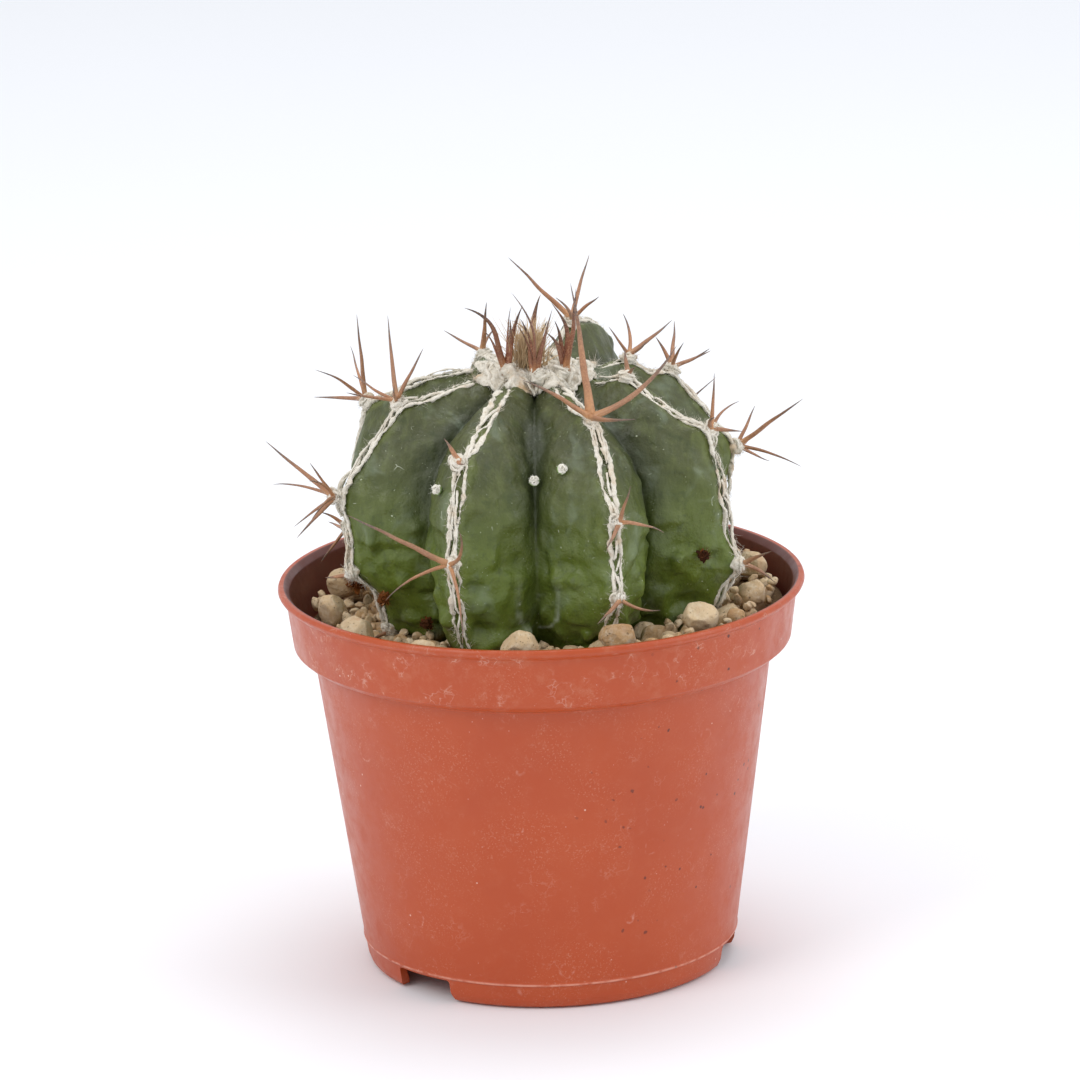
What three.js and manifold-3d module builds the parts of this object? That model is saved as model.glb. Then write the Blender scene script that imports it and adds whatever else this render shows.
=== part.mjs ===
// A ribbed globe cactus in a round plastic nursery pot.
// Millimetres, +Z up. The origin is the middle of the pot's base, on the surface the pot stands on.
// Azimuths are in degrees, counted from the front (-Y) towards +X.
import * as THREE from "three";
import { mergeVertices } from "three/addons/utils/BufferGeometryUtils.js";
import Module from "manifold-3d";

const wasm = await Module();
wasm.setup();

// ---------- driving dimensions ----------
const GAP = 0.35; // clearance kept between touching pieces

const RIM_RADIUS = 60;
const POT_HEIGHT = 89.5;
const WALL = 1.2;
const FLOOR_UNDERSIDE = 5.6;
const FLOOR_TOP = 7;
const FOOT_RADIUS = 40.3;
const WALL_FOOT_RADIUS = 43.05; // outside of the wall just above the parting line
const WALL_TOP_RADIUS = 52.2; // outside of the wall just under the collar
const WALL_FOOT_Z = 6.6;
const WALL_TOP_Z = 73.2;
const COLLAR_LOW_RADIUS = 56.7;
const COLLAR_HIGH_RADIUS = 58.2;
const COLLAR_LOW_Z = 75.6;
const COLLAR_HIGH_Z = 86.9;
const POT_SEGMENTS = 48;
const NOTCH_COUNT = 3;
const FIRST_NOTCH_AZIMUTH = -43.5;
const NOTCH_WIDTH = 15.5;
const NOTCH_HEIGHT = 5.4;
const NOTCH_CORNER = 1.6; // how far the notch flares where it meets the ground
const CUTTER_OVERLAP = 1; // how far a cutter runs past what it cuts
const NOTCH_DEPTH = 14;
const NOTCH_INNER_EDGE = -FOOT_RADIUS + 10;
const DRAIN_HOLE_RADIUS = 2.5;
const DRAIN_HOLE_RING = 25;
const DRAIN_HOLE_COUNT = 6;
const DRAIN_HOLE_SIDES = 10;
const DRAIN_CUTTER_HEIGHT = 6;
const FIRST_DRAIN_AZIMUTH = 30;

const SOIL_LEVEL = 80; // middle of the sloping surface
const SOIL_SLOPE = 0.055; // rises towards +X
const SOIL_SEGMENTS = 36;

const STEM_RADIUS = 46.3; // over the rib edges
const STEM_FURROW_RADIUS = 33.5;
const STEM_BELLY_Z = 108;
const STEM_RISE = 30; // belly to crown, along the rib edges
const STEM_FURROW_RISE = 26.5;
const STEM_DROP = 40; // belly to the buried end
const STEM_ROUNDNESS = 0.833; // exponent of the outline, 1 would be an ellipse
const STEM_FURROW_ROUNDNESS = 0.9;
const STEM_ALLOWANCE = 1.2 * GAP; // what neighbours cut away round the stem
const FLANK_BULGE = 0.1;
const FURROW_HUMP = 0.6; // how much of a rib's shoulder its furrows share
const CROWN_Z = 136;
// The ribs stand evenly round the stem. A foot is how wide a rib stays at the soil, a shoulder how far it
// rises; 1 is plain.
const RIB_KEYS = [..."abcdefgh"];
const FIRST_RIB_AZIMUTH = -24;
const BROAD_FOOT = 1.1;
const NARROW_FOOT = 0.8;
const HIGH_SHOULDER = 1.4;
const PLAIN_RIB = { foot: 1, shoulder: 1 };
const SPECIAL_RIBS = {
  a: { foot: BROAD_FOOT },
  c: { foot: BROAD_FOOT },
  e: { shoulder: HIGH_SHOULDER },
  h: { foot: NARROW_FOOT },
};
const RIBS = Object.fromEntries(RIB_KEYS.map((key, index) => {
  const azimuth = FIRST_RIB_AZIMUTH + (360 * index) / RIB_KEYS.length;
  return [key, { ...PLAIN_RIB, ...SPECIAL_RIBS[key], azimuth }];
}));
// Rows of the stem, as angles up its outline, and places across half a rib: 0 the edge, 1 the furrow.
const STEM_ROWS = [-76, -62, -50, -40, -30, -20, -10, 0, 10, 20, 30, 39, 48, 56, 63, 69, 74, 80];
const FELT_FIRST_ROW = -30;
const FELT_LAST_ROW = 69;
const HALF_RIB_STEPS = [0.1, 0.5];
const FELT_HALF_WIDTH = HALF_RIB_STEPS[0];
const FELT_CLEAR = 0.45;
const FELT_THICK = 1.5;
const FELT_SIDE_THICK = 1.1;

const WOOL_FIRST_ROW = 74;
const WOOL_SHOULDER_ROW = 81;
const WOOL_EDGE = 1.4;
const WOOL_HEIGHT = 3.2;
const WOOL_SHOULDER_HEIGHT = 0.66 * WOOL_HEIGHT;
const WOOL_UNDERCUT = 2; // how far the cap starts below the stem's surface, before it is cut to it
const WOOL_BELOW_CROWN = 6;

const AREOLE_RADIUS = 2.5;
const AREOLE_HEIGHT = 2.2;
const AREOLE_CLEAR = 1.95; // from the rib edge to the underside of a wool cushion
const SPINE_RADIUS = 0.62;
const SPINE_SIDES = 5;
const SPINE_STEPS = 4;
const SPINE_TAPER = 1.6; // exponent, 1 would be a straight cone

// Areoles sit at a few levels up each rib, as rows of the stem. On every other rib they are lower by stagger.
const AREOLE_LEVELS = {
  crown: { row: 66, stagger: 0 },
  upper: { row: 50, stagger: 18 },
  middle: { row: 8, stagger: 10 },
  lower: { row: -12, stagger: 0 },
  lowest: { row: -34, stagger: 0 },
};
// How far the longest spine of a cluster reaches, and where it points: a turn from upwards towards +azimuth.
const LONG = 30;
const MEDIUM = 20;
const SHORT = 13;
const STUB = 6;
const UP = 0;
const UP_RIGHT = 45;
const RIGHT = 90;
const DOWN = 180;
const LEFT = -90;
const UP_LEFT = -45;
// Each areole by its rib and level.
const AREOLES = {
  h_upper: { spines: 5, reach: MEDIUM, towards: UP_LEFT },
  h_middle: { spines: 7, reach: MEDIUM, towards: UP_LEFT },
  h_lower: { spines: 1, reach: STUB, towards: LEFT },
  h_lowest: { spines: 1, reach: STUB, towards: UP_RIGHT },
  a_upper: { spines: 2, reach: STUB, towards: UP_LEFT },
  a_middle: { spines: 4, reach: LONG, towards: UP_LEFT },
  b_upper: { spines: 4, reach: LONG, towards: UP, stout: 1.5 },
  b_middle: { spines: 3, reach: SHORT, towards: UP },
  b_lower: { spines: 2, reach: SHORT, towards: LEFT },
  c_crown: { spines: 2, reach: STUB, towards: UP_RIGHT },
  c_upper: { spines: 4, reach: SHORT, towards: UP },
  c_lower: { spines: 2, reach: SHORT, towards: UP_LEFT },
  d_crown: { spines: 4, reach: SHORT, towards: DOWN },
  d_upper: { spines: 5, reach: SHORT, towards: RIGHT },
  d_middle: { spines: 5, reach: MEDIUM, towards: UP_LEFT },
  e_crown: { spines: 4, reach: MEDIUM, towards: RIGHT },
  e_middle: { spines: 4, reach: LONG, towards: UP_LEFT },
  e_lower: { spines: 2, reach: SHORT, towards: LEFT },
  f_upper: { spines: 3, reach: SHORT, towards: UP },
  f_lower: { spines: 3, reach: SHORT, towards: UP_LEFT },
  g_upper: { spines: 4, reach: MEDIUM, towards: UP },
  g_lower: { spines: 3, reach: SHORT, towards: LEFT },
};
// The central spine of a cluster is the longest and steepest; the radial ones spread evenly round it.
const CENTRAL_LIFT = 46; // off the surface
const RADIAL_LIFT = 44;
const RADIAL_LIFT_SPREAD = 16;
const RADIAL_TURN_SPREAD = 24;
const RADIAL_SHARE = 0.68; // of the cluster's reach
const RADIAL_SHARE_SPREAD = 0.3;
const RADIAL_THICKNESS = 0.85; // of the central spine's
const RADIAL_BOW = 0.12; // most, as a share of the length
// Clusters in a ring on the crown wool, by azimuth.
const CROWN_RING = 10.5;
const CROWN_LIFT = 28; // how much more their spines stand up
const CROWN_CLUSTERS = {
  left: { azimuth: -40, spines: 5, reach: MEDIUM, towards: UP },
  middle: { azimuth: 0, spines: 4, reach: MEDIUM, towards: UP },
  right: { azimuth: 40, spines: 4, reach: MEDIUM, towards: UP },
  back: { azimuth: 180, spines: 3, reach: SHORT, towards: UP },
};
const CROWN_CLUSTER_SINK = 0.8; // how deep a cushion presses into the crown wool

// Small offset buds on the stem: rib, place from its edge (0) to the next furrow (1), and row.
const BUD_RADIUS = 1.3;
const BUDS = {
  offset_bud_furrow: { rib: "a", across: 0.9, row: 25 },
  offset_bud_right: { rib: "b", across: -0.5, row: 30 },
  offset_bud_left: { rib: "a", across: -0.3, row: 20 },
};

// Dried flowers caught against the stem, placed like the buds.
const FLOWER_REMAINS = {
  dried_flower_back_left: { rib: "g", across: 0.3, row: -25, radius: 4 },
  dried_flower_left: { rib: "h", across: -0.6, row: -30, radius: 3 },
  dried_flower_rib_h: { rib: "h", across: 0.3, row: -20, radius: 2 },
  dried_flower_rib_h_low: { rib: "h", across: 0.7, row: -30, radius: 2 },
  dried_flower_rib_c: { rib: "c", across: -0.4, row: -8, radius: 2 },
};

// The larger stones lie in a ring between the stem and the pot, and leave a stretch open for watering.
const STONE_COUNT = 13;
const STONE_RING = 49;
const STONE_RING_SPREAD = 3;
const STONE_HALF_SIZES = [4.6, 3.8, 3.6];
const STONE_SIZE_SPREAD = 0.4;
const STONE_TILT_SPREAD = 40;
const STONE_BED = 3; // finer grit under a stone
const WATERING_AZIMUTH = 226;
const WATERING_STRETCH = 48;
const STONE_ROUGHNESS = 0.14;
const FLOWER_ROUGHNESS = 0.2;
const BUD_ROUGHNESS = 0.05;
const LUMP_DETAIL = 1;
const STONE_SEED = 21;
const CROWN_SEED = 50;

// Roots, hidden in the growing medium.
const ROOT_TOP = STEM_BELLY_Z - STEM_DROP - GAP - 0.2;
const TAPROOT_END = 24;
const TAPROOT_PROFILE = [[1.6, 30], [4, 48], [8, 60], [12, ROOT_TOP - 1.5]];
const ROOT_GROWTH_ROOM = 0.9;
const SIDE_ROOT_AZIMUTHS = [20, 95, 165, 240, 310];
const SIDE_ROOT_Z = 58;
const SIDE_ROOT_FALL = -0.75; // of the direction, for each 1 outwards
const SIDE_ROOT_LENGTH = 34;
const SIDE_ROOT_BOW = 3;
const SIDE_ROOT_THICKNESS = 4; // times a spine's

// ---------- small helpers ----------
const radians = THREE.MathUtils.degToRad;

function outward(azimuth) {
  const angle = radians(azimuth);
  return new THREE.Vector3(Math.sin(angle), -Math.cos(angle), 0);
}

function at(azimuth, radius, z) {
  return outward(azimuth).multiplyScalar(radius).setZ(z);
}

// Only positions and one index per corner, so that the surface is closed.
function welded(geometry) {
  const plain = geometry.clone();
  plain.deleteAttribute("normal");
  plain.deleteAttribute("uv");
  return mergeVertices(plain, 1e-4);
}

function solidOf(geometry) {
  const plain = welded(geometry);
  return new wasm.Manifold(new wasm.Mesh({
    numProp: 3,
    vertProperties: new Float32Array(plain.attributes.position.array),
    triVerts: new Uint32Array(plain.index.array),
  }));
}

function geometryOf(solid) {
  const mesh = solid.getMesh();
  const geometry = new THREE.BufferGeometry();
  geometry.setAttribute("position", new THREE.BufferAttribute(new Float32Array(mesh.vertProperties), 3));
  geometry.setIndex(Array.from(mesh.triVerts));
  return geometry;
}

function indexedGeometry(points, triangles) {
  const geometry = new THREE.BufferGeometry().setFromPoints(points);
  geometry.setIndex(triangles);
  return geometry;
}

// A body of revolution about Z from a profile of [radius, z] points.
function turned(profile, segments) {
  const points = profile.map(([radius, z]) => new THREE.Vector2(radius, z));
  return new THREE.LatheGeometry(points, segments).rotateX(Math.PI / 2);
}

// A repeatable number from 0 to 1 for each pair of whole numbers.
function hashed(seed, index) {
  const wave = Math.sin(seed * 127.1 + index * 311.7) * 43758.5453;
  return wave - Math.floor(wave);
}

// ---------- the pot ----------
function notchCutter(azimuth) {
  const half = NOTCH_WIDTH / 2;
  const shape = new THREE.Shape();
  shape.moveTo(-half - NOTCH_CORNER, -CUTTER_OVERLAP);
  shape.lineTo(half + NOTCH_CORNER, -CUTTER_OVERLAP);
  shape.lineTo(half + NOTCH_CORNER, 0);
  shape.lineTo(half + NOTCH_CORNER / 4, NOTCH_CORNER / 2);
  shape.lineTo(half, NOTCH_CORNER * 1.4);
  shape.lineTo(half, NOTCH_HEIGHT);
  shape.lineTo(-half, NOTCH_HEIGHT);
  shape.lineTo(-half, NOTCH_CORNER * 1.4);
  shape.lineTo(-half - NOTCH_CORNER / 4, NOTCH_CORNER / 2);
  shape.lineTo(-half - NOTCH_CORNER, 0);
  const cutter = new THREE.ExtrudeGeometry(shape, { depth: NOTCH_DEPTH, bevelEnabled: false });
  cutter.rotateX(Math.PI / 2).translate(0, NOTCH_INNER_EDGE, 0);
  return solidOf(cutter.rotateZ(radians(azimuth)));
}

function drainHoleCutter(azimuth, radius) {
  const size = [DRAIN_HOLE_RADIUS, DRAIN_HOLE_RADIUS, DRAIN_CUTTER_HEIGHT, DRAIN_HOLE_SIDES];
  const cutter = new THREE.CylinderGeometry(...size);
  cutter.rotateX(Math.PI / 2);
  const centre = at(azimuth, radius, (FLOOR_UNDERSIDE + FLOOR_TOP) / 2);
  return solidOf(cutter.translate(centre.x, centre.y, centre.z));
}

function potGeometry() {
  const profile = [
    [0, FLOOR_UNDERSIDE], [41.2, FLOOR_UNDERSIDE], [39.1, 0], // underside, then down inside the foot
    [FOOT_RADIUS, 0], [41.7, 0.8], [42.3, 2.4], [42.85, 5.8], // foot, rounded at its outer edge
    [43.2, 5.95], [43.2, 6.35], [WALL_FOOT_RADIUS, WALL_FOOT_Z], // parting line
    [WALL_TOP_RADIUS, WALL_TOP_Z], [55.2, 74.3], // wall, then out under the collar
    [COLLAR_LOW_RADIUS, COLLAR_LOW_Z], [COLLAR_HIGH_RADIUS, COLLAR_HIGH_Z],
    [59.6, 87.9], [RIM_RADIUS, 88.6], [59.6, POT_HEIGHT], [58.4, POT_HEIGHT], // rolled lip
    [57.3, 88.2], [COLLAR_HIGH_RADIUS - WALL, COLLAR_HIGH_Z - 0.5], // down the inside
    [COLLAR_LOW_RADIUS - WALL, COLLAR_LOW_Z + 0.6], [54, 75.3],
    [WALL_TOP_RADIUS - WALL, WALL_TOP_Z], [41.7, FLOOR_TOP], [0, FLOOR_TOP],
  ];
  let pot = solidOf(turned(profile, POT_SEGMENTS));
  for (let index = 0; index < NOTCH_COUNT; index += 1) {
    pot = pot.subtract(notchCutter(FIRST_NOTCH_AZIMUTH + (360 * index) / NOTCH_COUNT));
  }
  pot = pot.subtract(drainHoleCutter(0, 0));
  for (let index = 0; index < DRAIN_HOLE_COUNT; index += 1) {
    const azimuth = FIRST_DRAIN_AZIMUTH + (360 * index) / DRAIN_HOLE_COUNT;
    pot = pot.subtract(drainHoleCutter(azimuth, DRAIN_HOLE_RING));
  }
  return geometryOf(pot);
}

// ---------- the stem's surface ----------
function signedPower(value, exponent) {
  return Math.sign(value) * Math.abs(value) ** exponent;
}

// A point of the outline along a rib edge (edge true) or a furrow, as { radius, z }.
function outlinePoint(rib, row, edge) {
  const cosine = Math.cos(radians(row));
  const sine = Math.sin(radians(row));
  const exponent = edge ? STEM_ROUNDNESS : STEM_FURROW_ROUNDNESS;
  const widening = 1 + (rib.foot - 1) * Math.max(0, -sine);
  const hump = Math.sin(2 * radians(row)) ** 2 * (edge ? 1 : FURROW_HUMP);
  const rise = (edge ? STEM_RISE : STEM_FURROW_RISE) * (1 + (rib.shoulder - 1) * hump);
  return {
    radius: (edge ? STEM_RADIUS : STEM_FURROW_RADIUS) * cosine ** exponent * widening,
    z: STEM_BELLY_Z + (sine > 0 ? rise : STEM_DROP) * signedPower(sine, exponent),
  };
}

function blended(first, second, share) {
  const mixed = {};
  for (const key of ["foot", "shoulder"]) {
    mixed[key] = first[key] * (1 - share) + second[key] * share;
  }
  return mixed;
}

// across runs from -1, the furrow on the clockwise side, over 0, the rib's edge, to 1, the next furrow.
function stemPoint(key, across, row) {
  const index = RIB_KEYS.indexOf(key);
  const step = across < 0 ? -1 : 1;
  const rib = RIBS[key];
  const neighbour = RIBS[RIB_KEYS[(index + step + RIB_KEYS.length) % RIB_KEYS.length]];
  const share = Math.abs(across);
  let span = neighbour.azimuth - rib.azimuth;
  if (step > 0 && span < 0) span += 360;
  if (step < 0 && span > 0) span -= 360;
  const edge = outlinePoint(rib, row, true);
  const furrow = outlinePoint(blended(rib, neighbour, 0.5), row, false);
  const mix = Math.min(1, 1 - share + FLANK_BULGE * Math.sin(Math.PI * share));
  const radius = furrow.radius + (edge.radius - furrow.radius) * mix;
  const z = furrow.z + (edge.z - furrow.z) * mix;
  return at(rib.azimuth + (span * share) / 2, radius, z);
}

// The direction straight out of the stem at a point of its surface.
function stemNormal(key, across, row) {
  const here = stemPoint(key, across, row);
  const upwards = stemPoint(key, across, row + 1).sub(stemPoint(key, across, row - 1));
  const sideways = new THREE.Vector3(-here.y, here.x, 0);
  if (Math.abs(across) > FELT_HALF_WIDTH && Math.abs(across) < 1) {
    sideways.copy(stemPoint(key, across + 0.02, row).sub(stemPoint(key, across - 0.02, row)));
  }
  return sideways.cross(upwards).normalize();
}

// The columns once round the stem, as [rib, across].
function stemColumns() {
  const columns = [];
  for (const key of RIB_KEYS) {
    for (const across of [...HALF_RIB_STEPS].reverse()) columns.push([key, -across]);
    columns.push([key, 0]);
    for (const across of HALF_RIB_STEPS) columns.push([key, across]);
    columns.push([key, 1]);
  }
  return columns;
}

// A closed body from rings of equal length, with a point at each end.
function ringsToBody(lowPole, rings, highPole) {
  const count = rings[0].length;
  const points = [lowPole, ...rings.flat(), highPole];
  const last = points.length - 1;
  const triangles = [];
  for (let column = 0; column < count; column += 1) {
    const next = (column + 1) % count;
    triangles.push(0, 1 + next, 1 + column);
    for (let row = 0; row < rings.length - 1; row += 1) {
      const low = 1 + row * count;
      const high = low + count;
      triangles.push(low + column, low + next, high + next);
      triangles.push(low + column, high + next, high + column);
    }
    const top = last - count;
    triangles.push(top + column, top + next, last);
  }
  return indexedGeometry(points, triangles);
}

function stemGeometry(grow) {
  const columns = stemColumns();
  const rings = STEM_ROWS.map((row) => columns.map(([key, across]) =>
    stemPoint(key, across, row).addScaledVector(stemNormal(key, across, row), grow)));
  const bottom = new THREE.Vector3(0, 0, STEM_BELLY_Z - STEM_DROP - grow);
  return ringsToBody(bottom, rings, new THREE.Vector3(0, 0, CROWN_Z + grow));
}

// ---------- wool ----------
// The felt along one rib's edge: a bent strip that follows the edge at a constant distance.
function feltGeometry(key) {
  const rows = STEM_ROWS.filter((row) => row >= FELT_FIRST_ROW && row <= FELT_LAST_ROW);
  const inner = [-FELT_HALF_WIDTH, 0, FELT_HALF_WIDTH];
  const offsets = [FELT_CLEAR, FELT_CLEAR, FELT_CLEAR, FELT_SIDE_THICK, FELT_THICK, FELT_SIDE_THICK];
  const places = [...inner, ...[...inner].reverse()];
  const rings = rows.map((row) => places.map((across, index) =>
    stemPoint(key, across, row).addScaledVector(stemNormal(key, 0, row), offsets[index])));
  const points = rings.flat();
  const count = places.length;
  const triangles = [];
  for (let row = 0; row < rings.length - 1; row += 1) {
    for (let index = 0; index < count; index += 1) {
      const next = (index + 1) % count;
      const low = row * count;
      const high = low + count;
      triangles.push(low + index, high + next, low + next);
      triangles.push(low + index, high + index, high + next);
    }
  }
  const top = (rings.length - 1) * count;
  for (const [first, second, third] of [[0, 1, 4], [0, 4, 5], [1, 2, 3], [1, 3, 4]]) {
    triangles.push(first, second, third);
    triangles.push(top + first, top + third, top + second);
  }
  return indexedGeometry(points, triangles);
}

// The wool on the crown: a lobed cap, cut to the stem's top.
function crownWoolSolid(grow) {
  const columns = stemColumns();
  const ring = (row, height) => columns.map(([key, across]) => {
    const point = stemPoint(key, across, row);
    return point.setZ(Math.min(point.z, CROWN_Z + WOOL_UNDERCUT) + height);
  });
  const rings = [ring(WOOL_FIRST_ROW, -WOOL_UNDERCUT), ring(WOOL_FIRST_ROW + 1, WOOL_EDGE + grow)];
  rings.push(ring(WOOL_SHOULDER_ROW, WOOL_SHOULDER_HEIGHT + grow));
  const bottom = new THREE.Vector3(0, 0, CROWN_Z - WOOL_BELOW_CROWN);
  const cap = ringsToBody(bottom, rings, new THREE.Vector3(0, 0, CROWN_Z + WOOL_HEIGHT + grow));
  return solidOf(cap).subtract(solidOf(stemGeometry(STEM_ALLOWANCE)));
}

// ---------- spines ----------
// A tapering spine from base along direction, bowed towards sideways.
function spineGeometry(base, direction, length, sideways, bow, thickness) {
  const cone = new THREE.ConeGeometry(1, 1, SPINE_SIDES, SPINE_STEPS).translate(0, 0.5, 0);
  const across = sideways.clone().cross(direction).normalize();
  const bowed = direction.clone().cross(across).normalize();
  const position = cone.attributes.position;
  for (let index = 0; index < position.count; index += 1) {
    const along = position.getY(index);
    const taper = along > 0 && along < 1 ? (1 - along ** SPINE_TAPER) / (1 - along) : 1;
    const radius = SPINE_RADIUS * thickness * taper;
    const point = base.clone().addScaledVector(direction, along * length);
    point.addScaledVector(bowed, bow * 4 * along * (1 - along));
    point.addScaledVector(across, position.getX(index) * radius);
    point.addScaledVector(bowed, position.getZ(index) * radius);
    position.setXYZ(index, point.x, point.y, point.z);
  }
  const body = solidOf(cone);
  return body.volume() > 0 ? body : solidOf(flipped(cone));
}

function flipped(geometry) {
  const turnedOver = welded(geometry);
  const index = turnedOver.index;
  for (let corner = 0; corner < index.count; corner += 3) {
    const first = index.getX(corner);
    index.setX(corner, index.getX(corner + 1));
    index.setX(corner + 1, first);
  }
  return turnedOver;
}

function cushionSolid(base, normal) {
  const profile = [
    [0, 0], [AREOLE_RADIUS * 0.92, 0], [AREOLE_RADIUS, AREOLE_HEIGHT * 0.35],
    [AREOLE_RADIUS * 0.7, AREOLE_HEIGHT * 0.85], [0, AREOLE_HEIGHT],
  ];
  const dome = turned(profile, 8);
  dome.applyQuaternion(new THREE.Quaternion().setFromUnitVectors(new THREE.Vector3(0, 0, 1), normal));
  return solidOf(dome.translate(base.x, base.y, base.z));
}

// The spines of a cluster, each as { turn, lift, length, bow, thickness }.
function clusterSpines({ spines, reach, towards, stout = 1 }, seed) {
  const spread = (index) => hashed(seed, index) - 0.5;
  const list = [{ turn: towards, lift: CENTRAL_LIFT, length: reach, bow: 0, thickness: stout }];
  for (let index = 1; index < spines; index += 1) {
    const length = reach * (RADIAL_SHARE + RADIAL_SHARE_SPREAD * spread(index));
    list.push({
      turn: towards + (360 * index) / spines + RADIAL_TURN_SPREAD * spread(index + spines),
      lift: RADIAL_LIFT + RADIAL_LIFT_SPREAD * spread(index + 2 * spines),
      length,
      bow: 2 * RADIAL_BOW * length * spread(index + 3 * spines),
      thickness: RADIAL_THICKNESS * stout,
    });
  }
  return list;
}

// A wool cushion at base with its spines; upwards is the direction that their turns count from.
function clusterSolid(base, normal, upwards, spines) {
  const sideways = upwards.clone().cross(normal).normalize();
  const root = base.clone().addScaledVector(normal, AREOLE_HEIGHT / 2);
  let body = cushionSolid(base, normal);
  for (const { turn, lift, length, bow, thickness } of spines) {
    const flat = upwards.clone().multiplyScalar(Math.cos(radians(turn)));
    flat.addScaledVector(sideways, Math.sin(radians(turn)));
    const direction = flat.clone().multiplyScalar(Math.cos(radians(lift)));
    direction.addScaledVector(normal, Math.sin(radians(lift)));
    const bowTowards = flat.clone().cross(normal);
    body = body.add(spineGeometry(root, direction, length, bowTowards, bow, thickness));
  }
  return body;
}

function areoleGeometry(key, areole, seed) {
  const [rib, level] = key.split("_");
  const staggered = RIB_KEYS.indexOf(rib) % 2 === 0;
  const row = AREOLE_LEVELS[level].row - (staggered ? AREOLE_LEVELS[level].stagger : 0);
  const normal = stemNormal(rib, 0, row);
  const upwards = stemPoint(rib, 0, row + 1).sub(stemPoint(rib, 0, row - 1)).normalize();
  const base = stemPoint(rib, 0, row).addScaledVector(normal, AREOLE_CLEAR);
  return geometryOf(clusterSolid(base, normal, upwards, clusterSpines(areole, seed)));
}

function crownClusterGeometry(cluster, seed, woolAllowance) {
  const base = at(cluster.azimuth, CROWN_RING, CROWN_Z + WOOL_HEIGHT - CROWN_CLUSTER_SINK);
  const spines = clusterSpines(cluster, seed).map((spine) => ({ ...spine, lift: spine.lift + CROWN_LIFT }));
  const body = clusterSolid(base, new THREE.Vector3(0, 0, 1), outward(cluster.azimuth), spines);
  return geometryOf(body.subtract(woolAllowance));
}

// ---------- lumps: stones, buds, dried flowers ----------
function lumpGeometry(half, turn, tip, seed, roughness) {
  const lump = welded(new THREE.IcosahedronGeometry(1, LUMP_DETAIL));
  const position = lump.attributes.position;
  for (let index = 0; index < position.count; index += 1) {
    const swell = 1 - roughness + roughness * hashed(seed, index);
    position.setXYZ(
      index,
      position.getX(index) * half[0] * swell,
      position.getY(index) * half[1] * swell,
      position.getZ(index) * half[2] * swell,
    );
  }
  return lump.rotateY(radians(tip)).rotateZ(radians(turn));
}

// Where a lump of this radius touches the stem.
function besideStem({ rib, across, row }, radius) {
  return stemPoint(rib, across, row).addScaledVector(stemNormal(rib, across, row), radius + GAP);
}

function stone(index) {
  const spread = (step) => hashed(STONE_SEED + index, step) - 0.5;
  const stretch = (360 - WATERING_STRETCH) / (STONE_COUNT - 1);
  const azimuth = WATERING_AZIMUTH + WATERING_STRETCH / 2 + stretch * index;
  const half = STONE_HALF_SIZES.map((size, axis) => size * (1 + STONE_SIZE_SPREAD * spread(axis + 1)));
  const tilt = STONE_TILT_SPREAD * spread(4);
  const geometry = lumpGeometry(half, -azimuth, tilt, STONE_SEED + index, STONE_ROUGHNESS);
  const centre = at(azimuth, STONE_RING + STONE_RING_SPREAD * spread(5), 0);
  centre.z = SOIL_LEVEL + SOIL_SLOPE * centre.x + STONE_BED + half[2];
  return { geometry, centre };
}

// ---------- growing medium and roots ----------
function taprootSolid(grow) {
  const top = ROOT_TOP + grow;
  const profile = TAPROOT_PROFILE.map(([radius, z]) => [radius + grow, z]);
  return solidOf(turned([[0, TAPROOT_END - 2 * grow], ...profile, [10, top], [0, top]], 12));
}

function sideRootsSolid() {
  const start = new THREE.Vector3(0, 0, SIDE_ROOT_Z);
  const upright = new THREE.Vector3(0, 0, 1);
  let body = null;
  for (const azimuth of SIDE_ROOT_AZIMUTHS) {
    const direction = outward(azimuth).setZ(SIDE_ROOT_FALL).normalize();
    const shape = [SIDE_ROOT_LENGTH, upright, SIDE_ROOT_BOW, SIDE_ROOT_THICKNESS];
    const side = spineGeometry(start, direction, ...shape);
    body = body ? body.add(side) : side;
  }
  return body;
}

function soilGeometry(stemAllowance, rootAllowance) {
  const inside = WALL + GAP;
  const profile = [
    [0, FLOOR_TOP + GAP], [41.3, FLOOR_TOP + GAP], [WALL_TOP_RADIUS - inside, WALL_TOP_Z],
    [53.7, 75.8], [COLLAR_LOW_RADIUS - inside, COLLAR_LOW_Z + 1],
    [55.4, SOIL_LEVEL - 1], [54, SOIL_LEVEL], [0, SOIL_LEVEL],
  ];
  const fill = welded(turned(profile, SOIL_SEGMENTS));
  const position = fill.attributes.position;
  for (let index = 0; index < position.count; index += 1) {
    if (position.getZ(index) >= SOIL_LEVEL - 1.5) {
      position.setZ(index, position.getZ(index) + SOIL_SLOPE * position.getX(index));
    }
  }
  return geometryOf(solidOf(fill).subtract(stemAllowance).subtract(rootAllowance));
}

// ---------- materials ----------
function material(color, roughness) {
  return new THREE.MeshStandardMaterial({ color, roughness, metalness: 0 });
}

const POT_PLASTIC = material(0xbe5c42, 0.45);
const CACTUS_SKIN = material(0x4c5f38, 0.6);
const WOOL = material(0xe6e1d2, 1);
const SPINE = material(0xbe825f, 0.55);
const CROWN_SPINE = material(0x7a3d2a, 0.5);
const BUD_SKIN = material(0xb9c59a, 0.8);
const DRIED_FLOWER = material(0x8a4e22, 1);
const PUMICE = material(0xcdb496, 0.95);
const GROWING_MEDIUM = material(0x8a755c, 1);
const ROOT = material(0xa98f6a, 0.9);

// ---------- assembly ----------
const cactus = new THREE.Group();

function place(name, geometry, surface) {
  const mesh = new THREE.Mesh(geometry, surface);
  mesh.name = name;
  cactus.add(mesh);
  return mesh;
}

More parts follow.
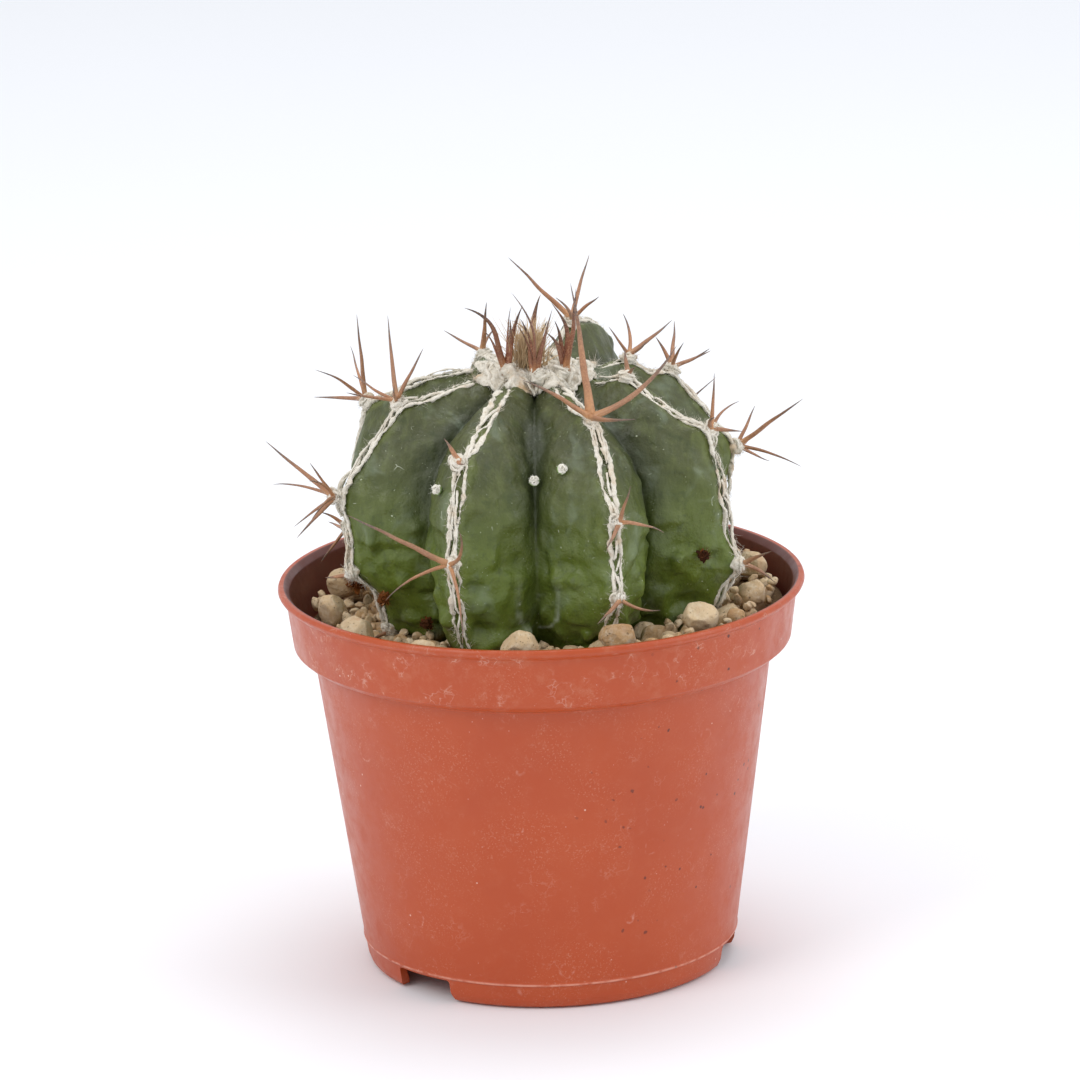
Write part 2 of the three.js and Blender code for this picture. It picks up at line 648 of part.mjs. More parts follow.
const sideRoots = sideRootsSolid();
const rootAllowance = taprootSolid(ROOT_GROWTH_ROOM).add(sideRoots);
place("nursery_pot", potGeometry(), POT_PLASTIC);
place("growing_medium", soilGeometry(solidOf(stemGeometry(STEM_ALLOWANCE)), rootAllowance), GROWING_MEDIUM);
place("roots", geometryOf(taprootSolid(0).add(sideRoots)), ROOT);
place("cactus_stem", stemGeometry(0), CACTUS_SKIN);
for (const key of RIB_KEYS) {
  place(`rib_felt_${key}`, feltGeometry(key), WOOL);
}
place("crown_wool", geometryOf(crownWoolSolid(0)), WOOL);
Object.entries(AREOLES).forEach(([key, areole], index) => {
  place(`areole_${key}`, areoleGeometry(key, areole, index), SPINE);
});
const woolAllowance = crownWoolSolid(GAP);
Object.entries(CROWN_CLUSTERS).forEach(([key, cluster], index) => {
  const geometry = crownClusterGeometry(cluster, CROWN_SEED + index, woolAllowance);
  place(`crown_cluster_${key}`, geometry, CROWN_SPINE);
});
Object.entries(BUDS).forEach(([name, bud]) => {
  const geometry = lumpGeometry(Array(3).fill(BUD_RADIUS), 0, 0, bud.row, BUD_ROUGHNESS);
  place(name, geometry, BUD_SKIN).position.copy(besideStem(bud, BUD_RADIUS));
});
Object.entries(FLOWER_REMAINS).forEach(([name, flower], index) => {
  const geometry = lumpGeometry(Array(3).fill(flower.radius), 0, 0, index + 1, FLOWER_ROUGHNESS);
  place(name, geometry, DRIED_FLOWER).position.copy(besideStem(flower, flower.radius));
});
for (let index = 0; index < STONE_COUNT; index += 1) {
  const { geometry, centre } = stone(index);
  place(`stone_${String(index + 1).padStart(2, "0")}`, geometry, PUMICE).position.copy(centre);
}

export default cactus;
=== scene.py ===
# The looks of a ribbed globe cactus in a round plastic nursery pot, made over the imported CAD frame.
# Shapes are worked out in millimetres and written in metres. +Z is up and -Y is the front.
# Azimuths are in degrees, counted from the front towards +X.
import itertools
import math

import bmesh
import bpy
import numpy as np
from mathutils import Matrix, Vector
from mathutils.bvhtree import BVHTree


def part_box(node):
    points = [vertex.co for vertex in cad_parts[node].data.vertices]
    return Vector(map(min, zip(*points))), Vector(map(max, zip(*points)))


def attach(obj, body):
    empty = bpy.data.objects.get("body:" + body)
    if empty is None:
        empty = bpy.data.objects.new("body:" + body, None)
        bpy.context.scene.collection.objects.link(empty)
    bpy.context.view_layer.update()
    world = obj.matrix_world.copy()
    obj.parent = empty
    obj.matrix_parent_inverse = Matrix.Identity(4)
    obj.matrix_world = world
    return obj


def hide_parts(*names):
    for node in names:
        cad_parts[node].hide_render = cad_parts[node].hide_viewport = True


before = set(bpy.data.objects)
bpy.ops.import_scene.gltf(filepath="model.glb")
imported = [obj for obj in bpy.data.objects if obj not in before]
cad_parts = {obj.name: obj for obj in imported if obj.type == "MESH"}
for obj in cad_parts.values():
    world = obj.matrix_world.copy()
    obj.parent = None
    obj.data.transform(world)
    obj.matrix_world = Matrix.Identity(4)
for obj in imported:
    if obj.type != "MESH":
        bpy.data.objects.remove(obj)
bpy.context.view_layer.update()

MM = 0.001
draw = np.random.default_rng(11)
uniform = draw.uniform


# --- numbers and vectors ---
def unit(vectors):
    """The vectors at length 1."""
    lengths = np.linalg.norm(vectors, axis=-1, keepdims=True)
    return vectors / np.maximum(lengths, 1e-9)


def smooth(value, low, high):
    """0 below low, 1 above high, and a soft step between."""
    share = np.clip((value - low) / (high - low), 0, 1)
    return share * share * (3 - 2 * share)


def hashed(cells, seed):
    """A repeatable number from -1 to 1 for each cell."""
    wave = np.sin(cells @ np.array([127.1, 311.7, 74.7]) + seed * 43.7) * 43758.5453
    return 2 * (wave - np.floor(wave)) - 1


def noise(points, cell, seed, stretch=(1, 1, 1)):
    """Smooth values from -1 to 1 at points (n, 3) that vary over about one cell."""
    scaled = np.asarray(points, float) * stretch / cell
    base = np.floor(scaled)
    part = smooth(scaled - base, 0, 1)
    total = np.zeros(len(scaled))
    for corner in itertools.product((0, 1), repeat=3):
        weight = np.prod(np.where(corner, part, 1 - part), axis=1)
        total += weight * hashed(base + corner, seed)
    return total


def fractal(points, cell, seed, octaves=3):
    """Noise with finer and weaker noise on top."""
    layers = [noise(points, cell / 2**n, seed + 17 * n) / 2**n for n in range(octaves)]
    return sum(layers)


def noise_along(values, cell, seed):
    """Smooth values from -1 to 1 along a line of numbers."""
    still = np.zeros(len(values))
    return noise(np.stack([values, still + seed * 3.7, still], axis=-1), cell, seed)


def random_units(count):
    """Directions spread evenly over a sphere."""
    return unit(draw.normal(size=(count, 3)))


# --- meshes ---
class Gathered:
    """Points, faces and named values per point, gathered into one mesh."""

    def __init__(self):
        self.points, self.faces, self.values, self.count = [], [], {}, 0

    def add(self, points, faces, **values):
        self.points.append(points)
        self.faces += [(face + self.count).tolist() for face in faces]
        for name, value in values.items():
            filled = np.broadcast_to(np.asarray(value, float), len(points))
            self.values.setdefault(name, []).append(filled)
        self.count += len(points)

    def piece(self, name, look):
        values = {key: np.concatenate(parts) for key, parts in self.values.items()}
        return mesh_piece(name, np.concatenate(self.points), self.faces, look, **values)

    def hand_in(self, name, slot, *nodes, look=None):
        on_frame(self.piece(name, LOOKS[look or slot]), slot, *nodes)


def plain_mesh(name, points, faces):
    mesh = bpy.data.meshes.new(name)
    mesh.from_pydata(points.tolist(), [], [list(face) for face in faces])
    return mesh


def in_scene(name, data):
    thing = bpy.data.objects.new(name, data)
    bpy.context.scene.collection.objects.link(thing)
    return thing


def modified(thing):
    """A mesh with the object's modifiers applied."""
    return bpy.data.meshes.new_from_object(thing.evaluated_get(bpy.context.evaluated_depsgraph_get()))


def mesh_piece(name, points, faces, look, **values):
    """A smooth-shaded object from points in millimetres, with its values stored for the material."""
    mesh = plain_mesh(name, points * MM, faces)
    for key, value in values.items():
        mesh.attributes.new(key, "FLOAT", "POINT").data.foreach_set("value", np.asarray(value, np.float32))
    work = bmesh.new()
    work.from_mesh(mesh)
    bmesh.ops.remove_doubles(work, verts=work.verts, dist=1e-7)
    bmesh.ops.recalc_face_normals(work, faces=work.faces)
    work.to_mesh(mesh)
    work.free()
    mesh.shade_smooth()
    mesh.materials.append(look)
    return in_scene(name, mesh)


def on_frame(piece, slot, *nodes):
    """Ties a finished piece to the CAD: its body and the nodes it stands for. The slot argument, its finish,
    is not used.
    """
    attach(piece, "root")
    if nodes:
        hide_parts(*nodes)


def grid_faces(rows, columns):
    """Quads over a grid of points, joined round its columns."""
    row = np.arange(rows - 1)[:, None]
    column = np.arange(columns)[None]
    after = (column + 1) % columns
    low, high = row * columns, (row + 1) * columns
    corners = [low + column, low + after, high + after, high + column]
    return np.stack(corners, axis=-1).reshape(-1, 4)


def tubes(paths, radii, sides, flatness=1.0, reference=(0.31, 0.17, 0.93)):
    """Closed tubes along paths (count, steps, 3) with radii (count, steps): points and faces."""
    count, steps = radii.shape
    along = unit(np.gradient(paths, axis=1))
    side = unit(np.cross(along, np.asarray(reference)))
    up = np.cross(side, along) * flatness
    turn = np.arange(sides) * math.tau / sides
    ring = side[:, :, None] * np.cos(turn)[:, None] + up[:, :, None] * np.sin(turn)[:, None]
    points = paths[:, :, None] + ring * radii[:, :, None, None]
    walls = grid_faces(steps, sides)
    first = np.arange(sides)[::-1]
    last = np.arange(sides) + (steps - 1) * sides
    faces = []
    for index in range(count):
        start = index * steps * sides
        faces += list(walls + start) + [first + start, last + start]
    return points.reshape(-1, 3), faces


def hairs(roots, directions, lengths, radius, curl, steps=4):
    """Thin curved hairs: their points, faces and the share along each hair for every point."""
    count = len(roots)
    share = np.linspace(0, 1, steps)
    bend = random_units(count) * curl
    paths = roots[:, None] + directions[:, None] * (lengths[:, None] * share)[:, :, None]
    paths = paths + bend[:, None] * (lengths[:, None] * share**2)[:, :, None]
    radii = radius * (1 - 0.85 * share)[None] * uniform(0.7, 1.2, (count, 1))
    points, faces = tubes(paths, radii, 3)
    return points, faces, np.tile(np.repeat(share, 3), count)


def ball(level):
    """The points and faces of a unit ball made of triangles."""
    work = bmesh.new()
    bmesh.ops.create_icosphere(work, subdivisions=level, radius=1)
    points = np.array([vertex.co for vertex in work.verts])
    faces = np.array([[vertex.index for vertex in face.verts] for face in work.faces])
    work.free()
    return points, faces


def turned(profile, segments):
    """A closed body of revolution from a profile of (radius, z)."""
    angle = np.arange(segments) * math.tau / segments
    radius, height = np.array(profile).T
    around = radius[:, None]
    heights = np.repeat(height[:, None], segments, 1)
    points = np.stack([around * np.sin(angle), -around * np.cos(angle), heights], axis=-1)
    return points.reshape(-1, 3), grid_faces(len(profile), segments)


def rounded(profile, cut, steps=3):
    """The profile with each inner corner replaced by a small arc."""
    points = [np.array(point, float) for point in profile]
    result = [points[0]]
    for before, corner, after in zip(points, points[1:], points[2:]):
        reach = [min(cut, 0.45 * np.linalg.norm(other - corner)) for other in (before, after)]
        start = corner + unit(before - corner) * reach[0]
        end = corner + unit(after - corner) * reach[1]
        for share in np.linspace(0, 1, steps + 1):
            result.append(start * (1 - share) ** 2 + corner * 2 * share * (1 - share) + end * share**2)
    return result + [points[-1]]


# --- reading the CAD nodes ---
def welded(node):
    """A CAD node's corners in millimetres, each one's neighbours, and its triangles."""
    work = bmesh.new()
    work.from_mesh(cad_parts[node].data)
    bmesh.ops.remove_doubles(work, verts=work.verts, dist=2e-6)
    work.verts.ensure_lookup_table()
    points = np.array([vertex.co for vertex in work.verts]) / MM
    neighbours = [[edge.other_vert(vertex).index for edge in vertex.link_edges] for vertex in work.verts]
    faces = [[vertex.index for vertex in face.verts] for face in work.faces]
    work.free()
    return points, neighbours, faces


def levels(neighbours, start):
    """Lists of points by how many edges they are from the start."""
    seen, level, found = {start}, [start], []
    while level:
        found.append(level)
        level = sorted({near for point in level for near in neighbours[point]} - seen)
        seen.update(level)
    return found


def middle_and_half(node):
    """The middle of a CAD node's box and half its size, in millimetres."""
    low, high = (np.array(corner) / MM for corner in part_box(node))
    return (low + high) / 2, (high - low) / 2


# --- materials ---
def linear(colour):
    """A colour from 0 to 255 as the linear colour that a shader takes; a linked one as it is."""
    if not isinstance(colour, tuple):
        return colour
    shares = np.array(colour) / 255
    curved = np.where(shares <= 0.04045, shares / 12.92, ((shares + 0.055) / 1.055) ** 2.4)
    return (*curved.tolist(), 1.0)


class Look:
    """A procedural material, with shorthand for its nodes. Cells are in millimetres."""

    def __init__(self, name, roughness, specular, fixed={}):
        self.material = bpy.data.materials.new(name)
        self.material.use_nodes = True
        self.tree = self.material.node_tree
        self.shader = self.tree.nodes["Principled BSDF"]
        self.fill(self.shader, {"Roughness": roughness, "Specular IOR Level": specular, **fixed})
        coordinates = self.tree.nodes.new("ShaderNodeTexCoord").outputs["Object"]
        self.millimetres = self.vector("SCALE", coordinates, 1 / MM, "Scale")

    def fill(self, node, inputs):
        """Links or sets the node's inputs."""
        for key, value in inputs.items():
            if isinstance(value, bpy.types.NodeSocket):
                self.tree.links.new(value, node.inputs[key])
            else:
                node.inputs[key].default_value = value

    def node(self, kind, inputs, **settings):
        node = self.tree.nodes.new("ShaderNode" + kind)
        for key, value in settings.items():
            setattr(node, key, value)
        self.fill(node, inputs)
        return node

    def vector(self, operation, first, second, key=1):
        return self.node("VectorMath", {0: first, key: second}, operation=operation).outputs["Vector"]

    def maths(self, operation, first, second=0.0):
        return self.node("Math", {0: first, 1: second}, operation=operation).outputs[0]

    def apart(self, value, middle):
        """How far the value is from the middle."""
        return self.maths("ABSOLUTE", self.maths("SUBTRACT", value, middle))

    def stretched(self, factors):
        return self.vector("MULTIPLY", self.millimetres, factors)

    def noise(self, cell, detail=3.0, roughness=0.55, distortion=0.0, place=None):
        inputs = {"Vector": place or self.millimetres, "Scale": 1 / cell, "Detail": detail}
        inputs.update({"Roughness": roughness, "Distortion": distortion})
        return self.node("TexNoise", inputs).outputs[0]

    def cells(self, cell, feature="F1", place=None):
        inputs = {"Vector": place or self.millimetres, "Scale": 1 / cell}
        return self.node("TexVoronoi", inputs, feature=feature).outputs["Distance"]

    def wobbled(self, cell, reach):
        """The coordinates, pushed about by noise."""
        node = self.node("TexNoise", {"Vector": self.millimetres, "Scale": 1 / cell})
        centred = self.vector("SUBTRACT", node.outputs["Color"], (0.5, 0.5, 0.5))
        return self.vector("ADD", self.millimetres, self.vector("SCALE", centred, reach * 2, "Scale"))

    def value(self, name):
        return self.node("Attribute", {}, attribute_name=name).outputs["Fac"]

    def axes(self):
        return self.node("SeparateXYZ", {0: self.millimetres}).outputs

    def inward(self):
        """1 where the surface faces the axis, 0 where it faces away from it."""
        normal = self.node("NewGeometry", {}).outputs["Normal"]
        node = self.node("VectorMath", {0: self.stretched((1, 1, 0)), 1: normal}, operation="DOT_PRODUCT")
        return self.band(node.outputs["Value"], -4, -12)

    def band(self, value, low, high, start=0.0, end=1.0):
        """start where the value is at low, end where it is at high, and a soft step between."""
        inputs = {"Value": value, "From Min": low, "From Max": high, "To Min": start, "To Max": end}
        return self.node("MapRange", inputs, interpolation_type="SMOOTHSTEP").outputs["Result"]

    def patches(self, low, high, *noise):
        return self.band(self.noise(*noise), low, high)

    def times(self, *values):
        result = values[0]
        for value in values[1:]:
            result = self.maths("MULTIPLY", result, value)
        return result

    def mix(self, share, first, second):
        """Two colours mixed, each one linked or from 0 to 255."""
        inputs = {"Factor": share, 6: linear(first), 7: linear(second)}
        return self.node("Mix", inputs, data_type="RGBA").outputs[2]

    def lay(self, colour, *shares):
        """Lays a colour over the body, as strongly as the product of the shares."""
        self.body = self.mix(self.times(*shares), self.body, colour)

    def ramp(self, value, *stops):
        node = self.node("ValToRGB", {"Fac": value})
        elements = node.color_ramp.elements
        while len(elements) < len(stops):
            elements.new(0.5)
        for element, (position, colour) in zip(elements, stops):
            element.position = position
            element.color = linear(colour)
        return node.outputs["Color"]

    def finish(self, roughness=None, bumps=()):
        """Joins the body, the roughness and any bumps, each a pair of value and depth in millimetres."""
        normal = {}
        for value, depth in bumps:
            node = self.node("Bump", {"Distance": depth * MM, "Height": value, **normal})
            normal = {"Normal": node.outputs["Normal"]}
        self.fill(self.shader, {"Base Color": self.body, **normal})
        if roughness is not None:
            self.fill(self.shader, {"Roughness": roughness})
        return self.material


COLLAR_FOOT = 74.5  # height where the wall steps out into the collar
PARTING_LINE = 6.1


def pot_look():
    look = Look("pot_plastic", 0.42, 0.5)
    place = look.axes()
    collar = look.band(place["Z"], COLLAR_FOOT, COLLAR_FOOT + 2, 0.25, 1)
    look.body = look.mix(look.noise(26, 3), (166, 60, 16), (182, 74, 24))
    look.lay((186, 86, 40), look.noise(9, 4, 0.6), 0.3)
    look.lay((198, 130, 98), look.patches(0.45, 0.75, 3.5, 6, 0.7), collar, 0.24)
    dust, dusty = look.patches(0.56, 0.7, 0.45, 2, 0.6), look.patches(0.4, 0.65, 12, 2)
    look.lay((208, 156, 128), dust, dusty, 0.28)
    for cell, size, strength, patch in ((1.7, 0.1, 0.4, 0.54), (4.5, 0.06, 0.7, 0.5)):
        dots = look.band(look.cells(cell), size, size * 0.55)
        some = look.band(look.noise(cell * 3.3, 2), patch, patch + 0.1)
        look.lay((224, 192, 176), dots, some, strength)
    web = look.band(look.cells(3.6, "DISTANCE_TO_EDGE", look.wobbled(2.2, 2.4)), 0.05, 0.012)
    patches = look.patches(0.54, 0.7, 7, 3, 0.6)
    look.lay((222, 184, 166), web, patches, collar, look.noise(1.1, 2), 0.7)
    distance = look.cells(10, place=look.wobbled(4, 1.2))
    ring = look.band(look.apart(distance, 0.2), 0.03, 0.008)
    marked = look.patches(0.52, 0.62, 11, 2)
    broken = look.patches(0.4, 0.7, 1.6, 2)
    look.lay((214, 166, 148), ring, marked, broken, 0.45)
    specks = look.band(look.cells(4.4, place=look.wobbled(1.6, 0.5)), 0.11, 0.06)
    side = look.band(place["X"], -12, 34)
    sparse = look.patches(0.62, 0.5, 8, 2)
    look.lay((64, 22, 16), specks, side, sparse, 0.85)
    line = look.band(look.apart(place["Z"], PARTING_LINE), 0.4, 0.12)
    look.lay((226, 168, 146), line, look.patches(0.3, 0.6, 3, 2), 0.6)
    # painted shade: dark maroon laid over the inner faces near the rim, where the inside of the pot is shaded
    look.lay((92, 42, 34), look.inward(), look.band(place["Z"], 60, 80), 0.9)
    roughness = look.band(look.noise(5, 4, 0.65), 0.3, 0.75, 0.3, 0.48)
    bumps = ((look.noise(14, 2), 0.25), (look.noise(0.7, 3), 0.02))
    return look.finish(roughness, bumps)


def skin_look():
    look = Look("cactus_skin", 0.45, 0.5)
    rise, edge = look.value("rise"), look.value("edge")
    low = look.mix(look.noise(9, 3), (76, 94, 26), (106, 122, 38))
    high = look.mix(look.noise(12, 3), (56, 62, 30), (80, 84, 42))
    look.body = look.mix(look.band(rise, 0.25, 0.85), low, high)
    streaks = look.noise(2.2, 4, 0.6, place=look.stretched((1, 1, 0.22)))
    look.lay((106, 116, 62), look.band(streaks, 0.45, 0.7), 0.32)
    look.lay((46, 60, 20), look.patches(0.5, 0.72, 2.6, 4, 0.6, 0.4), 0.45)
    look.lay((120, 132, 66), look.band(edge, 0.72, 0.97), look.patches(0.35, 0.65, 4, 3), 0.5)
    # painted shade: darker towards the furrows between the ribs, more so higher up
    look.lay((38, 46, 28), look.band(edge, 0.42, 0.0), look.band(rise, 0.3, 0.7, 0.25, 0.7))
    look.lay((140, 154, 132), look.patches(0.54, 0.72, 11, 3, 0.6, 0.6), 0.3)
    look.lay((186, 196, 178), look.value("stain"), 0.6)
    for cell, size, strength in ((1.1, 0.12, 0.6), (2.6, 0.085, 0.85)):
        dots = look.band(look.cells(cell, place=look.wobbled(1.5, 0.5)), size, size * 0.5)
        some = look.patches(0.5, 0.6, cell * 4, 2)
        look.lay((190, 198, 168), dots, some, strength)
    scratches = look.band(look.cells(8, "DISTANCE_TO_EDGE", look.wobbled(5, 4)), 0.014, 0.004)
    look.lay((196, 202, 180), scratches, look.patches(0.66, 0.7, 5, 2), 0.7)
    look.lay((120, 86, 52), look.value("cork"), 0.85)
    roughness = look.band(look.noise(3, 3), 0.3, 0.7, 0.36, 0.56)
    bumps = ((look.noise(2.4, 4, 0.6), 0.55), (look.noise(0.5, 3), 0.06))
    return look.finish(roughness, bumps)


def wool_look():
    look = Look("plant_wool", 0.95, 0.15, {"Sheen Weight": 0.25})
    look.body = look.mix(look.noise(2.4, 4, 0.6), (216, 208, 190), (244, 240, 230))
    look.lay((200, 168, 126), look.patches(0.5, 0.7, 6, 3, 0.6), look.value("stain"))
    look.lay((176, 160, 130), look.band(look.noise(0.5, 4, 0.7), 0.35, 0.5, 0.45, 0))
    return look.finish(bumps=((look.noise(0.35, 3, 0.7), 0.12),))


def spine_look(name, base, shaft, tip):
    look = Look(name, 0.42, 0.5)
    look.body = look.ramp(look.value("along"), (0.0, base), (0.22, shaft), (0.5, shaft), (0.8, tip))
    look.lay((226, 176, 130), look.patches(0.4, 0.7, 0.35, 3), 0.35)
    look.lay((136, 92, 62), look.patches(0.5, 0.7, 2.5, 3), 0.4)
    look.lay((116, 92, 78), look.value("tone"), 0.3)
    return look.finish(bumps=((look.noise(0.25, 3), 0.03),))


def pumice_look():
    look = Look("pumice", 0.92, 0.2)
    look.body = look.mix(look.value("tint"), (214, 190, 154), (186, 148, 104))
    look.lay((226, 212, 188), look.band(look.noise(1.6, 5, 0.65), 0.42, 0.7, 0, 0.6))
    look.lay((190, 140, 92), look.patches(0.54, 0.7, 3.2, 3, 0.6), 0.5)
    # painted shade: the pits are darkened where shade falls in the pores
    pits = look.band(look.cells(0.75, place=look.wobbled(0.9, 0.4)), 0.32, 0.12)
    pitted = look.times(pits, look.patches(0.45, 0.62, 1.4, 3))
    look.lay((104, 78, 52), pitted, 0.6)
    bumps = ((look.noise(1.0, 4, 0.7), 0.3), (look.maths("SUBTRACT", 1.0, pitted), 0.18))
    return look.finish(bumps=bumps)


def soil_look():
    look = Look("grit_bed", 0.97, 0.15)
    look.body = look.mix(look.noise(1.6, 5, 0.7), (70, 50, 34), (134, 108, 78))
    look.lay((160, 132, 98), look.band(look.cells(1.3), 0.3, 0.15))
    return look.finish(bumps=((look.noise(1.2, 5, 0.7), 0.8),))


def root_look():
    look = Look("root_bark", 0.9, 0.2)
    look.body = look.mix(look.noise(2, 5, 0.65, 1.0), (140, 116, 84), (192, 166, 126))
    return look.finish(bumps=((look.noise(0.9, 5, 0.7), 0.4),))


def bud_look():
    look = Look("offset_bud", 0.7, 0.3)
    green = look.mix(look.noise(0.9, 3), (96, 128, 60), (140, 166, 92))
    look.body = look.mix(look.value("wool"), green, (240, 236, 224))
    return look.finish(bumps=((look.noise(0.4, 3, 0.6), 0.1),))


def brush_look():
    look = Look("dry_brush", 0.95, 0.15)
    look.body = look.mix(look.value("tone"), (176, 140, 104), (214, 188, 150))
    return look.finish()


def flower_look():
    look = Look("dried_flower", 0.95, 0.15)
    dark, brown, ginger, pale = (62, 36, 22), (124, 72, 34), (168, 104, 48), (206, 178, 140)
    look.body = look.ramp(look.value("tone"), (0.0, dark), (0.45, brown), (0.8, ginger), (1.0, pale))
    look.lay((62, 34, 22), look.band(look.noise(0.8, 3), 0.4, 0.65, 0, 0.4))
    return look.finish(bumps=((look.noise(0.5, 3), 0.15),))


# --- the pot ---
POT_SEGMENTS = 240
POT_RADIUS, POT_HEIGHT = 60, 89.5
POT_PROFILE = [
    (0, 5.6), (41.2, 5.6), (39.1, 0), (40.3, 0), (41.7, 0.8), (42.3, 2.4),  # under the floor, and the foot
    (42.85, 5.8), (43.2, 5.95), (43.2, 6.35), (43.05, 6.6),  # the parting line
    (52.2, 73.2), (55.2, 74.3), (56.7, 75.6), (58.2, 86.9),  # the wall and the collar
    (59.6, 87.9), (60, 88.6), (59.6, 89.5), (58.4, 89.5), (57.3, 88.2), (57, 86.4),  # the lip
    (55.5, 76.2), (54, 75.3), (51, 73.2), (41.7, 7), (0, 7),  # the inside
]
NOTCHES = -43.5 + 120 * np.arange(3)
NOTCH_HALF_WIDTH, NOTCH_HEIGHT, NOTCH_FLARE = 7.75, 5.4, 1.6
DRAIN_RADIUS, DRAIN_RING = 2.5, 25


def outward(azimuth):
    angle = math.radians(azimuth)
    return np.array([math.sin(angle), -math.cos(angle), 0.0])


def prism(outline, depth_from, depth_to, azimuth):
    """A flat outline of (sideways, z), pushed out from the axis between two radii at an azimuth."""
    out = outward(azimuth)
    side = np.array([-out[1], out[0], 0.0])
    section = [side * across + (0, 0, z) for across, z in outline]
    ends = [place + out * depth for depth in (depth_from, depth_to) for place in section]
    count = len(outline)
    faces = [np.arange(count)[::-1], np.arange(count) + count]
    for index in range(count):
        after = (index + 1) % count
        faces.append(np.array([index, after, after + count, index + count]))
    return np.array(ends), faces


def notch_outline():
    half, top, flare = NOTCH_HALF_WIDTH, NOTCH_HEIGHT, NOTCH_FLARE
    right = [(half + flare, -1), (half + flare, 0), (half + flare * 0.4, flare * 0.35), (half, flare * 1.4)]
    right += [(half, top - 0.5), (half - 0.5, top)]
    return right + [(-across, z) for across, z in reversed(right)]


def pot_cutters():
    cutters = Gathered()
    for azimuth in NOTCHES:
        cutters.add(*prism(notch_outline(), 32, 46, azimuth))
    holes = [np.zeros(3)] + [outward(azimuth) * DRAIN_RING for azimuth in range(30, 390, 60)]
    disc, walls = turned([(0, 4), (DRAIN_RADIUS, 4), (DRAIN_RADIUS, 9), (0, 9)], 28)
    for hole in holes:
        cutters.add(disc + hole, list(walls))
    return cutters


def make_pot():
    profile = rounded(POT_PROFILE, 0.28)
    points, faces = turned(profile, POT_SEGMENTS)
    _, half = middle_and_half("nursery_pot")
    points *= np.array([half[0], half[0], 2 * half[2]]) / np.array([POT_RADIUS, POT_RADIUS, POT_HEIGHT])
    warp = noise(points, 38, 5, (1, 1, 0.3)) * 0.12 * smooth(points[:, 2], 8, 60)
    flat = unit(points * (1, 1, 0))
    points += flat * (warp * (np.abs(points[:, 0]) < POT_RADIUS - 0.5))[:, None]
    pot = mesh_piece("pot", points, faces, pot_look())
    cutter = pot_cutters().piece("pot_cutter", pot.data.materials[0])
    cut = pot.modifiers.new("cut", "BOOLEAN")
    cut.object, cut.operation, cut.solver = cutter, "DIFFERENCE", "EXACT"
    pot.data = modified(pot)
    pot.modifiers.clear()
    bpy.data.objects.remove(cutter)
    pot.data.set_sharp_from_angle(angle=math.radians(35))
    on_frame(pot, "pot_plastic", "nursery_pot")


# --- the stem ---
def nodes_named(start):
    return sorted(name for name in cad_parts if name.startswith(start))


HALF_RIB = 26  # steps from a rib's edge to the furrow
EDGE_SHARES = np.array([0, 0.1, 0.5, 1])  # where the CAD has columns between an edge and a furrow
AREOLE_SWELLING = 4.2  # mm that the surface would stand out at the middle of a wool cushion
AREOLE_SPREAD = 4.6
SKIN_FOOT, SKIN_RISE = 80, 58  # where the skin starts to show and how far up it goes
MARK_AZIMUTH, MARK_HEIGHT = -1.2, 91  # the water mark's middle, near the furrow between ribs a and b
MARK_HALF_WIDTH, MARK_DROP = 4.2, 4.5
MM_PER_DEGREE = 0.62  # along the skin round the water mark


def lagrange(nodes, places):
    """Weights (places, nodes) of the polynomial through values at the nodes."""
    weights = np.ones((len(places), len(nodes)))
    for index, node in enumerate(nodes):
        for other in np.delete(nodes, index):
            weights[:, index] *= (places - other) / (node - other)
    return weights


def catmull_rom(rings, places):
    """Points on a smooth curve through the rings, at places counted in rings."""
    base = np.clip(places.astype(int), 0, len(rings) - 2)
    share = (places - base)[:, None, None]
    before, here = rings[np.maximum(base - 1, 0)], rings[base]
    after, later = rings[base + 1], rings[np.minimum(base + 2, len(rings) - 1)]
    cubic = -before + 3 * here - 3 * after + later
    square = 2 * before - 5 * here + 4 * after - later
    return 0.5 * (2 * here + (after - before) * share + square * share**2 + cubic * share**3)


